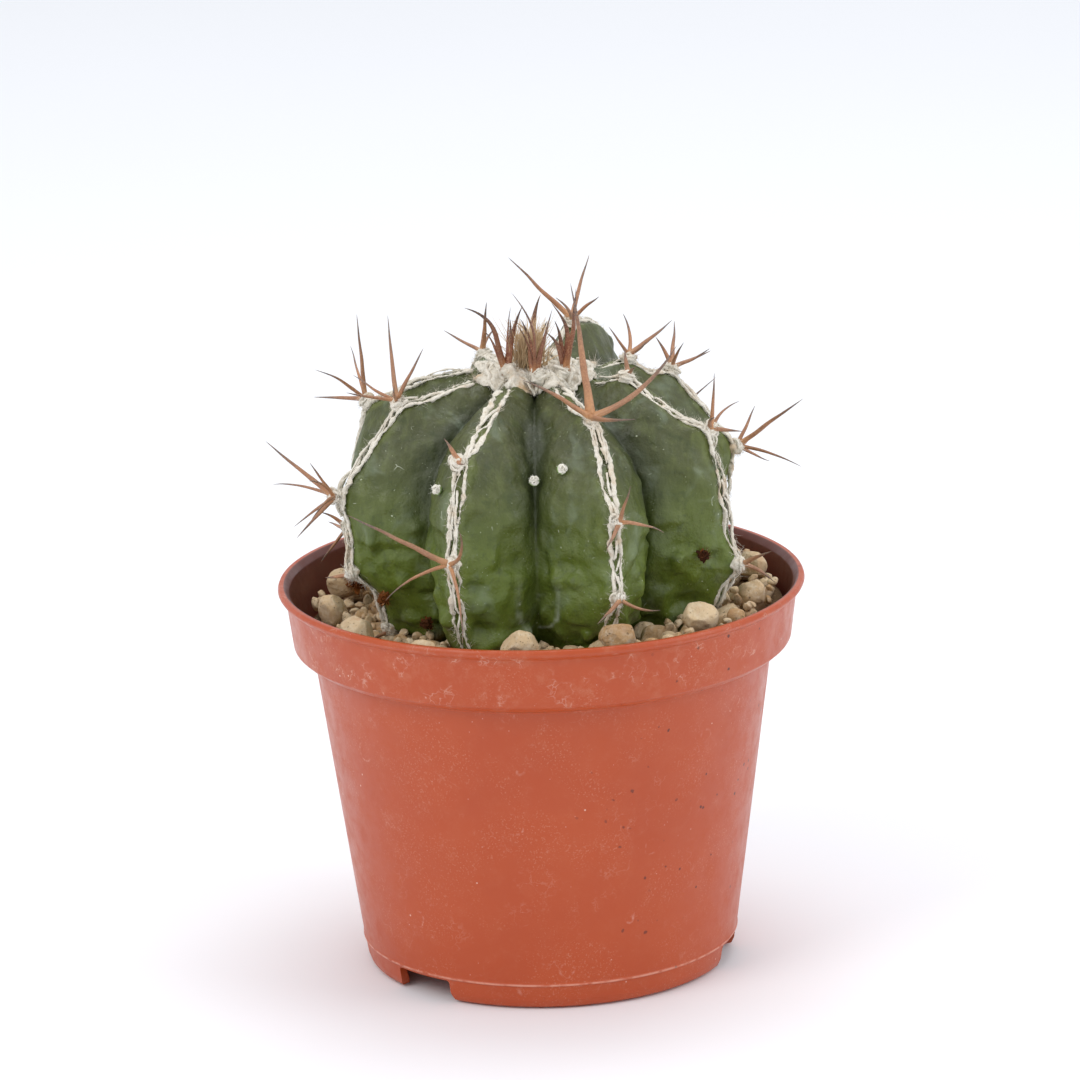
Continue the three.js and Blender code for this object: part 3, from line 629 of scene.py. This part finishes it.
class Stem:
    """The stem's surface as a fine grid: rows up the outline, columns round it from rib edge to rib edge."""

    def __init__(self):
        points, neighbours, _ = welded("cactus_stem")
        ordered = [sorted(level, key=lambda i: math.atan2(points[i, 0], -points[i, 1]))
                   for level in levels(neighbours, int(points[:, 2].argmin()))]
        count = max(len(level) for level in ordered)
        rings = np.array([points[level * (count // len(level))] for level in ordered])
        radius = np.hypot(rings[..., 0], rings[..., 1])[8]
        self.edges = np.flatnonzero((radius > np.roll(radius, 1)) & (radius > np.roll(radius, -1)))
        buried = np.linspace(0, 4, 12, endpoint=False)
        self.places = np.concatenate([buried, np.linspace(4, len(rings) - 1, 200)])
        shares = np.linspace(0, 1, HALF_RIB, endpoint=False)
        halves = ((np.arange(4), shares), (6 - np.arange(4), 1 - shares))
        columns = []
        for edge, (steps, part) in itertools.product(self.edges, halves):
            near = rings[:, (edge + steps) % count]
            columns.append(np.einsum("sn,rnk->rsk", lagrange(EDGE_SHARES, part), near))
        self.share = np.tile(np.concatenate([shares, 1 - shares]), len(self.edges))
        self.grid = catmull_rom(np.concatenate(columns, axis=1), self.places)
        self.shape_surface()
        self.faces = grid_faces(*self.grid.shape[:2])
        flat = self.grid.reshape(-1, 3)
        self.tree = BVHTree.FromPolygons(flat.tolist(), self.faces.tolist())

    def normals(self):
        across = np.roll(self.grid, -1, axis=1) - np.roll(self.grid, 1, axis=1)
        upwards = np.gradient(self.grid, axis=0)
        return unit(np.cross(across, upwards))

    def shape_surface(self):
        """Wavering rib edges, low swellings, dents and blisters on the flanks."""
        flat = self.grid.reshape(-1, 3)
        share = np.tile(self.share, len(self.grid))
        shown = smooth(flat[:, 2], 74, 84) * smooth(np.hypot(flat[:, 0], flat[:, 1]), 6, 14)
        sideways = unit(np.stack([-flat[:, 1], flat[:, 0], 0 * flat[:, 0]], axis=-1))
        waver = noise(flat, 7.5, 3, (0.25, 0.25, 1)) * smooth(share, 0.4, 0.0)
        flat = flat + sideways * (waver * 1.3 * shown)[:, None]
        self.grid = flat.reshape(self.grid.shape)
        normals = self.normals().reshape(-1, 3)
        lower = smooth(flat[:, 2], 118, 96)
        flank = smooth(share, 0.05, 0.2) * smooth(share, 1.0, 0.85)
        swell = noise(flat, 13, 21) * 1.4
        blisters = np.maximum(noise(flat, 3.4, 9, (1, 1, 0.75)) - 0.1, 0) * (1.1 + 1.5 * lower)
        dents = -np.maximum(noise(flat, 5.5, 31, (0.7, 0.7, 1.5)), 0) * (0.7 + lower) * 1.4
        folds = noise(flat, 3.2, 40, (1, 1, 0.12)) * 0.3 * smooth(share, 0.2, 0.6) * smooth(share, 1.0, 0.9)
        crenation = noise(flat, 4.2, 51, (0.2, 0.2, 1)) * 0.6 * smooth(share, 0.35, 0.0)
        height = (swell + blisters + dents) * flank + folds + crenation + self.areole_swellings(flat)
        rounding = -0.55 * np.exp(-((share / 0.07) ** 2))
        self.grid = (flat + normals * ((height + rounding) * shown)[:, None]).reshape(self.grid.shape)

    def areole_swellings(self, points):
        """How far each point stands out because an areole sits near it."""
        height = np.zeros(len(points))
        for node in nodes_named("areole_"):
            away = np.linalg.norm(points - traced_spines(node)[1], axis=1)
            height = np.maximum(height, AREOLE_SWELLING * np.exp(-((away / AREOLE_SPREAD) ** 2)))
        return height

    def edge_line(self, rib, first, last):
        """Points up a rib's edge and the outward direction at each, between two CAD rings."""
        rows = (self.places >= first) & (self.places <= last)
        column = rib * 2 * HALF_RIB
        sides = [self.normals()[rows][:, (column + step) % self.grid.shape[1]] for step in (-5, 5)]
        return self.grid[rows][:, column], unit(sides[0] + sides[1])

    def nearest(self, point):
        place, normal, _, distance = self.tree.find_nearest(Vector(point))
        return np.array(place), np.array(normal), distance


def stain_values(points):
    """A pale bowl-shaped water mark low in the front furrow."""
    azimuth = np.degrees(np.arctan2(points[:, 0], -points[:, 1]))
    across = (azimuth - MARK_AZIMUTH) * MM_PER_DEGREE
    lift = points[:, 2] - MARK_HEIGHT
    bowl = np.abs(np.hypot(across / MARK_HALF_WIDTH, np.minimum(lift, 0) / MARK_DROP) - 1)
    rim = smooth(bowl, 0.13, 0.02) * smooth(lift, 11, -2) * (points[:, 1] < 0)
    return rim * smooth(noise(points, 1.6, 61), -0.5, 0.4)


def make_stem(stem):
    points = stem.grid.reshape(-1, 3)
    share = np.tile(stem.share, len(stem.grid))
    cork = smooth(points[:, 2], 84.5, 80) * smooth(noise(points, 4, 71), -0.2, 0.5)
    rise = (points[:, 2] - SKIN_FOOT) / SKIN_RISE
    values = {"edge": 1 - share, "rise": rise, "stain": stain_values(points), "cork": cork}
    skin = mesh_piece("cactus_stem_skin", points, stem.faces, skin_look(), **values)
    on_frame(skin, "cactus_skin", "cactus_stem")


# --- wool ---
def woolly(points, faces, seed, depth, cell):
    """The points pushed in and out along their normals, like matted wool."""
    mesh = plain_mesh("woolly", points, faces)
    normals = np.zeros(len(points) * 3)
    mesh.vertices.foreach_get("normal", normals)
    bpy.data.meshes.remove(mesh)
    push = fractal(points, cell, seed) * depth
    return points + normals.reshape(-1, 3) * push[:, None]


def resampled(line, spacing):
    """A line of points at even spacing, and the distance along it."""
    steps = np.linalg.norm(np.diff(line, axis=0), axis=1)
    distance = np.concatenate([[0], np.cumsum(steps)])
    even = np.arange(0, distance[-1], spacing)
    return np.stack([np.interp(even, distance, line[:, axis]) for axis in range(3)], axis=-1), even


def add_hair(held, roots, directions, lengths, radius, curl, **values):
    points, faces, _ = hairs(roots, unit(directions), lengths, radius, curl)
    held.add(points, faces, **values)


def add_rope(held, path, width, sides, seed, depth, cell, *shape, **values):
    """A matted rope along a path; depth and cell are those of its relief."""
    points, faces = tubes(path[None], width[None], sides, *shape)
    held.add(woolly(points, faces, seed, depth, cell), faces, **values)


FELT_SPACING = 1.15  # from a rib's edge to the middle of each rope
FELT_HAIRS = 420  # on each rope
FELT_STRANDS = 18  # loose strands along a rib


def make_felt(stem, rib, letter):
    """Two wavering ropes of matted wool along a rib's edge, with loose hairs."""
    line, outwards = stem.edge_line(rib, 4.3, 17.2)
    line, distance = resampled(line, 0.4)
    out, _ = resampled(outwards, np.linalg.norm(np.diff(outwards, axis=0), axis=1).sum() / len(line))
    out = unit(out[np.linspace(0, len(out) - 1, len(line)).astype(int)])
    forwards = unit(np.gradient(line, axis=0))
    sideways = np.cross(forwards, out)
    wool = Gathered()
    thin = smooth(line[:, 2], 84, 104)
    for strand, side in enumerate((-1, 1)):
        seed = rib * 7 + strand * 3
        offset = FELT_SPACING + 0.34 * noise_along(distance, 8, seed)
        offset = side * (offset + 0.22 * noise_along(distance, 1.7, seed + 1))
        lift = 0.12 + 0.2 * noise_along(distance, 3, seed + 2)
        path = line + sideways * offset[:, None] + out * lift[:, None]
        width = 0.42 + 0.1 * thin + 0.26 * noise_along(distance, 3.7, seed + 4)
        width = width + 0.12 * noise_along(distance, 0.9, seed + 5)
        width = np.maximum(width * (0.72 + 0.28 * thin), 0.22)
        width[[0, -1]] = 0.05
        add_rope(wool, path, width, 12, seed, 0.26, 0.8, 0.6, stain=0.55)
        spread = random_units(FELT_HAIRS)
        where = draw.integers(0, len(path), FELT_HAIRS)
        direction = forwards[where] * draw.choice([-1, 1], (FELT_HAIRS, 1)) * 0.9
        direction = direction + spread * 0.75 + out[where] * 0.25
        lengths = uniform(0.5, 1.7, FELT_HAIRS)
        add_hair(wool, path[where] + spread * 0.45, direction, lengths, 0.045, 0.5, stain=0.3)
    for index in range(FELT_STRANDS):
        start = int(draw.integers(4, len(line) - 30))
        run = slice(start, start + int(draw.integers(9, 26)))
        part = line[run]
        drift = np.linspace(uniform(-1.3, 1.3), uniform(-1.3, 1.3), len(part))
        bow = np.sin(np.linspace(0, math.pi, len(part))) * uniform(0.2, 0.9)
        path = part + sideways[run] * drift[:, None] + out[run] * (0.45 + bow)[:, None]
        width = np.full(len(path), uniform(0.16, 0.34))
        add_rope(wool, path, width, 6, index, 0.12, 0.6, stain=0.4)
    wool.hand_in(f"rib_felt_{letter}_wool", "wool", f"rib_felt_{letter}")


def curl_path(centre, normal, reach, steps=14):
    """A short wandering path over a cushion of wool."""
    first = unit(np.cross(normal, random_units(1)[0]))
    second = np.cross(normal, first)
    turn = np.linspace(0, uniform(1.2, 4.5), steps) + uniform(0, 6)
    radius = reach * (uniform(0.35, 1.0) + 0.22 * np.sin(turn * 2.3))
    lift = uniform(-0.5, 1.05) * reach * (1 - (radius / (1.5 * reach)) ** 2)
    return centre + (first * (np.cos(turn) * radius)[:, None] + second * (np.sin(turn) * radius)[:, None]
                     + normal * lift[:, None])


def add_cushion(wool, centre, normal, size, curls, count, stain):
    """A cushion of wool: a lumpy core, curled strands over it and loose hairs."""
    core, faces = ball(4)
    flat = core + normal * (core @ normal)[:, None] * 0.15
    points = centre + flat * size * (0.9 + 0.2 * fractal(core + centre, 0.8, 3)[:, None])
    wool.add(points, list(faces), stain=stain)
    for _ in range(curls):
        path = curl_path(centre, normal, size)
        width = uniform(0.22, 0.42) * (1 - 0.7 * np.linspace(-1, 1, len(path)) ** 4)
        add_rope(wool, path, width, 7, len(wool.points), 0.14, 0.6, stain=stain * 0.6)
    spread = random_units(count)
    spread = spread - normal * np.minimum(spread @ normal, 0)[:, None] * 1.5
    add_hair(wool, centre + spread * size * 0.8, spread + random_units(count) * 0.7,
             uniform(0.4, 1.1, count) * size * 0.7, 0.05, 0.8, stain=stain)


# --- spines ---
SPINE_SIDES = 10
SPINE_STEPS = 26


def traced_spines(node):
    """Each spine of a CAD cluster as (curve through it, radius at its root), and the cushion's middle."""
    points, neighbours, _ = welded(node)
    spines, used = [], set()
    for tip, near in enumerate(neighbours):
        ways = unit(points[near] - points[tip])
        if len(near) != 5 or (ways @ ways.T).min() < 0.9:
            continue
        whole = list(itertools.takewhile(lambda ring: len(ring) == 5, levels(neighbours, tip)[1:4]))
        used.update([tip], *whole)
        known = [points[tip]] + [points[ring].mean(axis=0) for ring in whole]
        shares = 1 - 0.25 * np.arange(len(known))
        degree = min(2, len(known) - 1)
        curve = [np.polyfit(shares, np.array(known)[:, axis], degree) for axis in range(3)]
        last = points[whole[-1]] if whole else points[[tip]]
        width = np.linalg.norm(last - last.mean(axis=0), axis=1).mean() / (1 - shares[-1] ** 1.6)
        spines.append((curve, width))
    rest = [index for index in range(len(points)) if index not in used]
    return spines, points[rest].mean(axis=0)


def add_spine(spines, curve, width, hook, flatness):
    """One horny spine: flattened, a little kinked and ridged, swollen at its root."""
    share = np.linspace(0, 1, SPINE_STEPS)
    path = np.stack([np.polyval(axis, share) for axis in curve], axis=-1)
    length = np.linalg.norm(path[-1] - path[0])
    kink = np.stack([noise_along(share * length, 5, draw.integers(1, 999)) for _ in range(3)], axis=-1)
    path = path + kink * (0.22 * np.sin(share * math.pi) ** 0.7)[:, None]
    bend = unit(np.cross(path[-1] - path[0], random_units(1)[0]))
    path = path + bend * (hook * length * np.maximum(share - 0.45, 0) ** 2)[:, None]
    radius = width * (1 - share**1.5) * (1 + 0.28 * np.exp(-((share / 0.07) ** 2))) + 0.045
    radius = radius * (1 + 0.07 * noise_along(share * length, 1.6, draw.integers(1, 999)))
    radius[-1] = 0.02
    points, faces = tubes(path[None], radius[None], SPINE_SIDES, flatness, random_units(1)[0])
    shares = np.repeat(share, SPINE_SIDES)
    ridge = np.tile(np.where(np.arange(SPINE_SIDES) % 2 == 0, 1, -1), SPINE_STEPS) * 0.05
    centre = np.repeat(path, SPINE_SIDES, axis=0)
    points = centre + (points - centre) * (1 + ridge)[:, None]
    spines.add(points, faces, along=shares, tone=uniform(0, 1))


def make_cluster(stem, node, slot, hook, flatness, cushion, stout=1.0):
    """A cluster's spines and its cushion of wool, as two pieces."""
    found, middle = traced_spines(node)
    spines, wool = Gathered(), Gathered()
    for curve, width in found:
        add_spine(spines, curve, width * stout, hook * uniform(-1, 1), flatness)
    spines.hand_in(f"{node}_spines", slot, node)
    _, normal, _ = stem.nearest(middle)
    add_cushion(wool, middle - normal * 1.4, normal, cushion, 14, 260, 0.8)
    wool.hand_in(f"{node}_wool", "wool", node)


# --- the crown ---
def make_crown(stem):
    """The matted wool on the crown: a lumpy cap, ropes of wool round it and loose hairs."""
    points, _, faces = welded("crown_wool")
    wool = Gathered()
    cap, cap_faces = subdivided(points, faces, 3)
    top = cap[:, 2].max()
    cap = cap + np.stack([noise(cap, 3.1, seed) for seed in (1, 2, 3)], axis=-1) * (0.3, 0.3, 0.75)
    wool.add(woolly(cap, cap_faces, 4, 0.3, 0.9), cap_faces, stain=1.0)
    reach = np.hypot(points[:, 0], points[:, 1]).max()
    for index in range(110):
        azimuth, radius = uniform(0, math.tau), reach * math.sqrt(uniform(0.05, 0.62))
        turn = azimuth + np.linspace(0, uniform(0.25, 0.75), 18) * 9 / max(radius, 3)
        wander = radius + np.cumsum(draw.normal(0, 0.25, 18))
        path = np.stack([np.sin(turn) * wander, -np.cos(turn) * wander, np.zeros(18)], axis=-1)
        path[:, 2] = [surface_height(stem, spot) for spot in path]
        path[:, 2] += uniform(0.3, 1.3) + 0.4 * noise_along(np.arange(18.0), 4, index)
        width = uniform(0.3, 0.62) * (1 - 0.6 * np.linspace(-1, 1, 18) ** 4)
        add_rope(wool, path, width, 8, index, 0.2, 0.7, 0.8, stain=uniform(0, 0.9))
    roots = cap[draw.integers(0, len(cap), 1500)]
    roots = roots[roots[:, 2] > top - 6]
    ways = random_units(len(roots)) + (0, 0, 0.5)
    add_hair(wool, roots, ways, uniform(0.6, 2.2, len(roots)), 0.055, 0.8, stain=0.7)
    wool.hand_in("crown_wool_mat", "wool", "crown_wool")


def surface_height(stem, spot):
    """How high the stem, or the wool on its crown, is at a place."""
    hit = stem.tree.ray_cast(Vector((spot[0], spot[1], 200)), Vector((0, 0, -1)))
    under = hit[0].z if hit[0] else 130
    return under + 1.6 * float(smooth(math.hypot(spot[0], spot[1]), 15, 6))


BRUSH_MIDDLE = (-1.5, -3.5, 0.0)  # between the crown's clusters; the height is worked out
BRUSH_HAIRS = 330


def make_dry_brush(stem):
    """The pale brush that is left of an old flower, upright between the crown's spines."""
    brush = Gathered()
    middle = np.array(BRUSH_MIDDLE)
    middle[2] = surface_height(stem, middle) + 1
    lean = draw.normal(0, 0.26, (BRUSH_HAIRS, 3)) + (0.05, 0, 1)
    roots = middle + draw.normal(0, 1.35, (BRUSH_HAIRS, 3)) * (1, 1, 0.25)
    points, faces, share = hairs(roots, unit(lean), uniform(7, 12, BRUSH_HAIRS), 0.19, 0.16, 6)
    tone = np.clip(0.97 + 0.03 * share + draw.normal(0, 0.03, len(share)), 0, 1)
    brush.add(points, faces, tone=tone)
    brush.hand_in("dry_flower_brush", "dried_flower", look="brush")


# --- lumps ---
def subdivided(points, faces, level):
    """The closed mesh rounded by subdivision: its points and faces."""
    mesh = plain_mesh("subdivided", points, faces)
    holder = in_scene("subdivided", mesh)
    holder.modifiers.new("round", "SUBSURF").levels = level
    done = modified(holder)
    new_points = np.array([vertex.co for vertex in done.vertices])
    new_faces = [np.array(polygon.vertices) for polygon in done.polygons]
    bpy.data.objects.remove(holder)
    bpy.data.meshes.remove(mesh)
    bpy.data.meshes.remove(done)
    return new_points, new_faces


def chipped(points, planes, depth):
    """Points of a unit lump pushed back behind planes, which gives it worn facets."""
    ways = random_units(planes)
    for way in ways:
        past = points @ way - uniform(depth, 0.9)
        points = points - way * (np.maximum(past, 0) * 0.85)[:, None]
    return points


def make_stone(node, tint):
    points, _, faces = welded(node)
    middle, half = middle_and_half(node)
    fine, fine_faces = subdivided((points - middle) / half, faces, 3)
    fine = chipped(fine / np.abs(fine).max(), 9, 0.66)
    fine = fine / np.abs(fine).max(axis=0)
    placed = middle + fine * half
    placed = woolly(placed, fine_faces, int(draw.integers(1, 99)), 0.22, 2.6)
    stone = mesh_piece(f"{node}_pumice", placed, fine_faces, LOOKS["pumice"], tint=np.full(len(placed), tint))
    on_frame(stone, "pumice", node)


BED_LEVEL = 80  # the middle of the growing medium's sloping top
BED_REACH = 54
LARGE_GRAIN = 3.2
GRAINS = ((3.0, 4.4, 800), (2.0, 3.2, 1900), (1.1, 2.0, 2600))  # smallest, largest and tries, coarse first


def grain_shapes(level, count):
    """Some worn and chipped unit lumps to pick from."""
    base, faces = ball(level)
    shapes = []
    for index in range(count):
        lump = chipped(base, 9, 0.55) * (1, uniform(0.68, 0.95), uniform(0.6, 0.85))
        lump = lump * (1 + 0.1 * fractal(base + index * 5, 0.7, index)[:, None])
        shapes.append(lump / np.linalg.norm(lump, axis=1).max())
    return shapes, list(faces)


def bed_slope():
    """How much the grit rises towards +X."""
    middle, half = middle_and_half("growing_medium")
    return (middle[2] + half[2] - BED_LEVEL) / BED_REACH


def packed_grains(stem, solids):
    """Grains dropped between the stem and the wall, as (middle, radius)."""
    slope = bed_slope()
    fixed = len(solids)
    spots, halves = np.array([middle_and_half(node) for node in solids]).swapaxes(0, 1)
    sizes = halves.mean(axis=1) * 0.95
    for size in np.concatenate([uniform(*sort) for sort in GRAINS]):
        azimuth, radius = uniform(-math.pi, math.pi), uniform(32, 54.2 - size)
        spot = np.array([math.sin(azimuth) * radius, -math.cos(azimuth) * radius, 0.0])
        ground = BED_LEVEL + slope * spot[0]
        flat = np.linalg.norm(spots[:, :2] - spot[:2], axis=1)
        touch = (sizes + size) * 0.86
        over = flat < touch
        spot[2] = ground + 0.35 * size
        if over.any():
            rest = spots[over, 2] + np.sqrt(touch[over] ** 2 - flat[over] ** 2)
            spot[2] = max(spot[2], rest.max())
        wall = smooth(radius, 44, 53) * 1.6
        if spot[2] + size > ground + 5.2 + wall:
            continue
        near, normal, distance = stem.nearest(spot)
        if distance < 0.82 * size or (spot - near) @ normal < 0:
            continue
        spots, sizes = np.vstack([spots, spot]), np.append(sizes, size)
    return list(zip(spots[fixed:], sizes[fixed:]))


def random_turn():
    axis = random_units(1)[0]
    return np.array(Matrix.Rotation(uniform(0, math.tau), 3, Vector(axis)))


def make_grit(stem, stones):
    """The loose pumice grit between the larger stones."""
    small, small_faces = grain_shapes(3, 16)
    large, large_faces = grain_shapes(4, 10)
    grit = Gathered()
    for spot, size in packed_grains(stem, stones):
        shapes, faces = (large, large_faces) if size > LARGE_GRAIN else (small, small_faces)
        lump = shapes[int(draw.integers(0, len(shapes)))] @ random_turn().T
        grit.add(spot + lump * size * 1.06, faces, tint=uniform(0, 1) ** 1.5)
    grit.hand_in("pumice_grit", "pumice")


def make_bud(node):
    """A small offset: a green nub with a cap of white wool."""
    middle, half = middle_and_half(node)
    bud = Gathered()
    core, faces = ball(4)
    out = unit(middle * (1, 1, 0)) * 0.8 + (0, 0, 0.45)
    cover = smooth(core @ unit(out) + 0.5 * noise(core + middle, 0.6, 8), 0.1, 0.45)
    swell = 0.86 + 0.3 * cover * noise(core + middle, 0.4, 2) + 0.12 * noise(core + middle, 0.9, 5)
    bud.add(middle - unit(out) * 0.3 + core * half * swell[:, None], list(faces), wool=cover)
    top = middle + unit(out) * half.mean() * 0.35
    for _ in range(9):
        path = curl_path(top, unit(out), half.mean() * 0.7, 10)
        add_rope(bud, path, np.full(10, 0.17), 6, 3, 0.1, 0.4, wool=1)
    spread = unit(random_units(70) + unit(out) * 0.9)
    add_hair(bud, top + spread * half.mean() * 0.5, spread, uniform(0.3, 0.8, 70), 0.045, 0.8, wool=1)
    bud.hand_in(f"{node}_nub", "bud_skin", node)


def make_flower(node, tone, shreds, fuzz):
    """What is left of a flower: crumpled dry petals round a dark core, with fuzz."""
    middle, half = middle_and_half(node)
    flower = Gathered()
    core, faces = ball(4)
    lump = core * (0.62 + 0.22 * fractal(core + middle, 0.6, 5)[:, None])
    flower.add(middle + lump * half, list(faces), tone=tone * 0.6)
    for index in range(shreds):
        way = random_units(1)[0]
        share = np.linspace(0, 1, 9)
        bow = random_units(1)[0] * uniform(0.2, 0.6)
        path = middle + (way * (0.3 + 0.75 * share)[:, None] + bow * (share**2 - share)[:, None] * 1.6) * half
        width = half.mean() * uniform(0.2, 0.36) * np.sin(0.25 + share * 2.7)
        facing = random_units(1)[0]
        shade = np.clip(tone + uniform(-0.3, 0.3), 0, 1)
        add_rope(flower, path, width, 8, index, 0.18, 0.9, 0.16, facing, tone=shade)
    spread = random_units(fuzz)
    points, hair_faces, share = hairs(middle + spread * half * 0.55, unit(spread + random_units(fuzz) * 0.6),
                                      uniform(0.3, 0.65, fuzz) * half.mean(), 0.06, 0.7)
    flower.add(points, hair_faces, tone=np.clip(tone + 0.25 * share, 0, 1))
    flower.hand_in(f"{node}_remains", "dried_flower", node)


# --- floor, light and camera ---
CAMERA_PLACE = (0.0, -1.431, 0.499)
CAMERA_DIP, CAMERA_ROLL = 15.65, -1.6
LENS, SENSOR = 218.0, 36.0


def make_camera():
    camera = bpy.data.cameras.new("camera")
    camera.lens, camera.sensor_width = LENS, SENSOR
    holder = in_scene("camera", camera)
    dip, roll = math.radians(CAMERA_DIP), math.radians(CAMERA_ROLL)
    forward = Vector((0, math.cos(dip), -math.sin(dip)))
    level = forward.cross(Vector((0, 0, 1))).normalized()
    upright = level.cross(forward)
    right = level * math.cos(roll) + upright * math.sin(roll)
    up = upright * math.cos(roll) - level * math.sin(roll)
    turned_to = Matrix((right, up, -forward)).transposed()
    holder.matrix_world = Matrix.Translation(CAMERA_PLACE) @ turned_to.to_4x4()
    bpy.context.scene.camera = holder


def make_light(name, place, size, power, colour=(1, 1, 1)):
    light = bpy.data.lights.new(name, "AREA")
    light.shape, light.size, light.energy, light.color = "SQUARE", size, power, colour
    holder = in_scene(name, light)
    holder.location = place
    holder.rotation_euler = (Vector((0, 0, 0.08)) - Vector(place)).to_track_quat("-Z", "Y").to_euler()


def make_floor():
    side = 3000
    corners = np.array([[-side, -side, 0], [side, -side, 0], [side, side, 0], [-side, side, 0]], float)
    look = Look("studio_floor", 0.8, 0.1)
    look.body = look.mix(look.noise(400, 2), (243, 245, 248), (246, 248, 251))
    mesh_piece("floor", corners, [[0, 1, 2, 3]], look.finish())


def make_studio():
    scene = bpy.context.scene
    scene.view_settings.view_transform = "Standard"
    scene.world = bpy.data.worlds.new("studio")
    scene.world.use_nodes = True
    backdrop = scene.world.node_tree.nodes["Background"]
    backdrop.inputs["Color"].default_value = (0.955, 0.965, 1.0, 1.0)
    backdrop.inputs["Strength"].default_value = 0.86
    make_light("key", (-0.85, -0.75, 1.05), 0.6, 5.2, (1.0, 0.985, 0.96))
    make_light("fill", (1.05, -0.35, 0.7), 0.6, 3.0, (0.96, 0.98, 1.0))
    make_light("top", (0.1, 0.3, 1.3), 0.8, 4.5)
    make_floor()
    make_camera()


# --- all of it ---
RIB_LETTERS = "fghabcde"  # the ribs in order of azimuth from the back, as the stem's grid has them
LOOKS = {
    "wool": wool_look(),
    "spine": spine_look("spine", (216, 162, 112), (166, 116, 84), (88, 78, 76)),
    "crown_spine": spine_look("crown_spine", (206, 138, 78), (124, 66, 40), (56, 42, 40)),
    "pumice": pumice_look(),
    "dried_flower": flower_look(),
    "brush": brush_look(),
    "bud_skin": bud_look(),
}
STONE_TINTS = (0.2, 0.35, 0.1, 0.2, 0.3, 0.9, 0.1, 0.35, 0.25, 0.3, 0.55, 0.3, 0.5)
FLOWERS = {
    "dried_flower_back_left": (0.6, 26, 260),
    "dried_flower_left": (0.82, 16, 420),
    "dried_flower_rib_h": (0.6, 14, 120),
    "dried_flower_rib_h_low": (0.15, 12, 120),
    "dried_flower_rib_c": (0.1, 12, 90),
}


def dress_hidden_nodes():
    """Materials for the CAD nodes that stay as they are."""
    for node, look in (("growing_medium", soil_look()), ("roots", root_look())):
        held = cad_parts[node]
        held.material_slots[0].link = "OBJECT"
        held.material_slots[0].material = look


def build():
    make_studio()
    make_pot()
    stem = Stem()
    make_stem(stem)
    for rib, letter in enumerate(RIB_LETTERS):
        make_felt(stem, rib, letter)
    for node in nodes_named("areole_"):
        make_cluster(stem, node, "spine", 0.1, 0.75, 1.75)
    for node in nodes_named("crown_cluster_"):
        make_cluster(stem, node, "crown_spine", 1.2, 0.45, 1.9, 1.55)
    make_crown(stem)
    make_dry_brush(stem)
    stones = nodes_named("stone_")
    for node, tint in zip(stones, STONE_TINTS):
        make_stone(node, tint)
    make_grit(stem, stones)
    for node in nodes_named("offset_bud_"):
        make_bud(node)
    for node, facts in FLOWERS.items():
        make_flower(node, *facts)
    dress_hidden_nodes()


build()
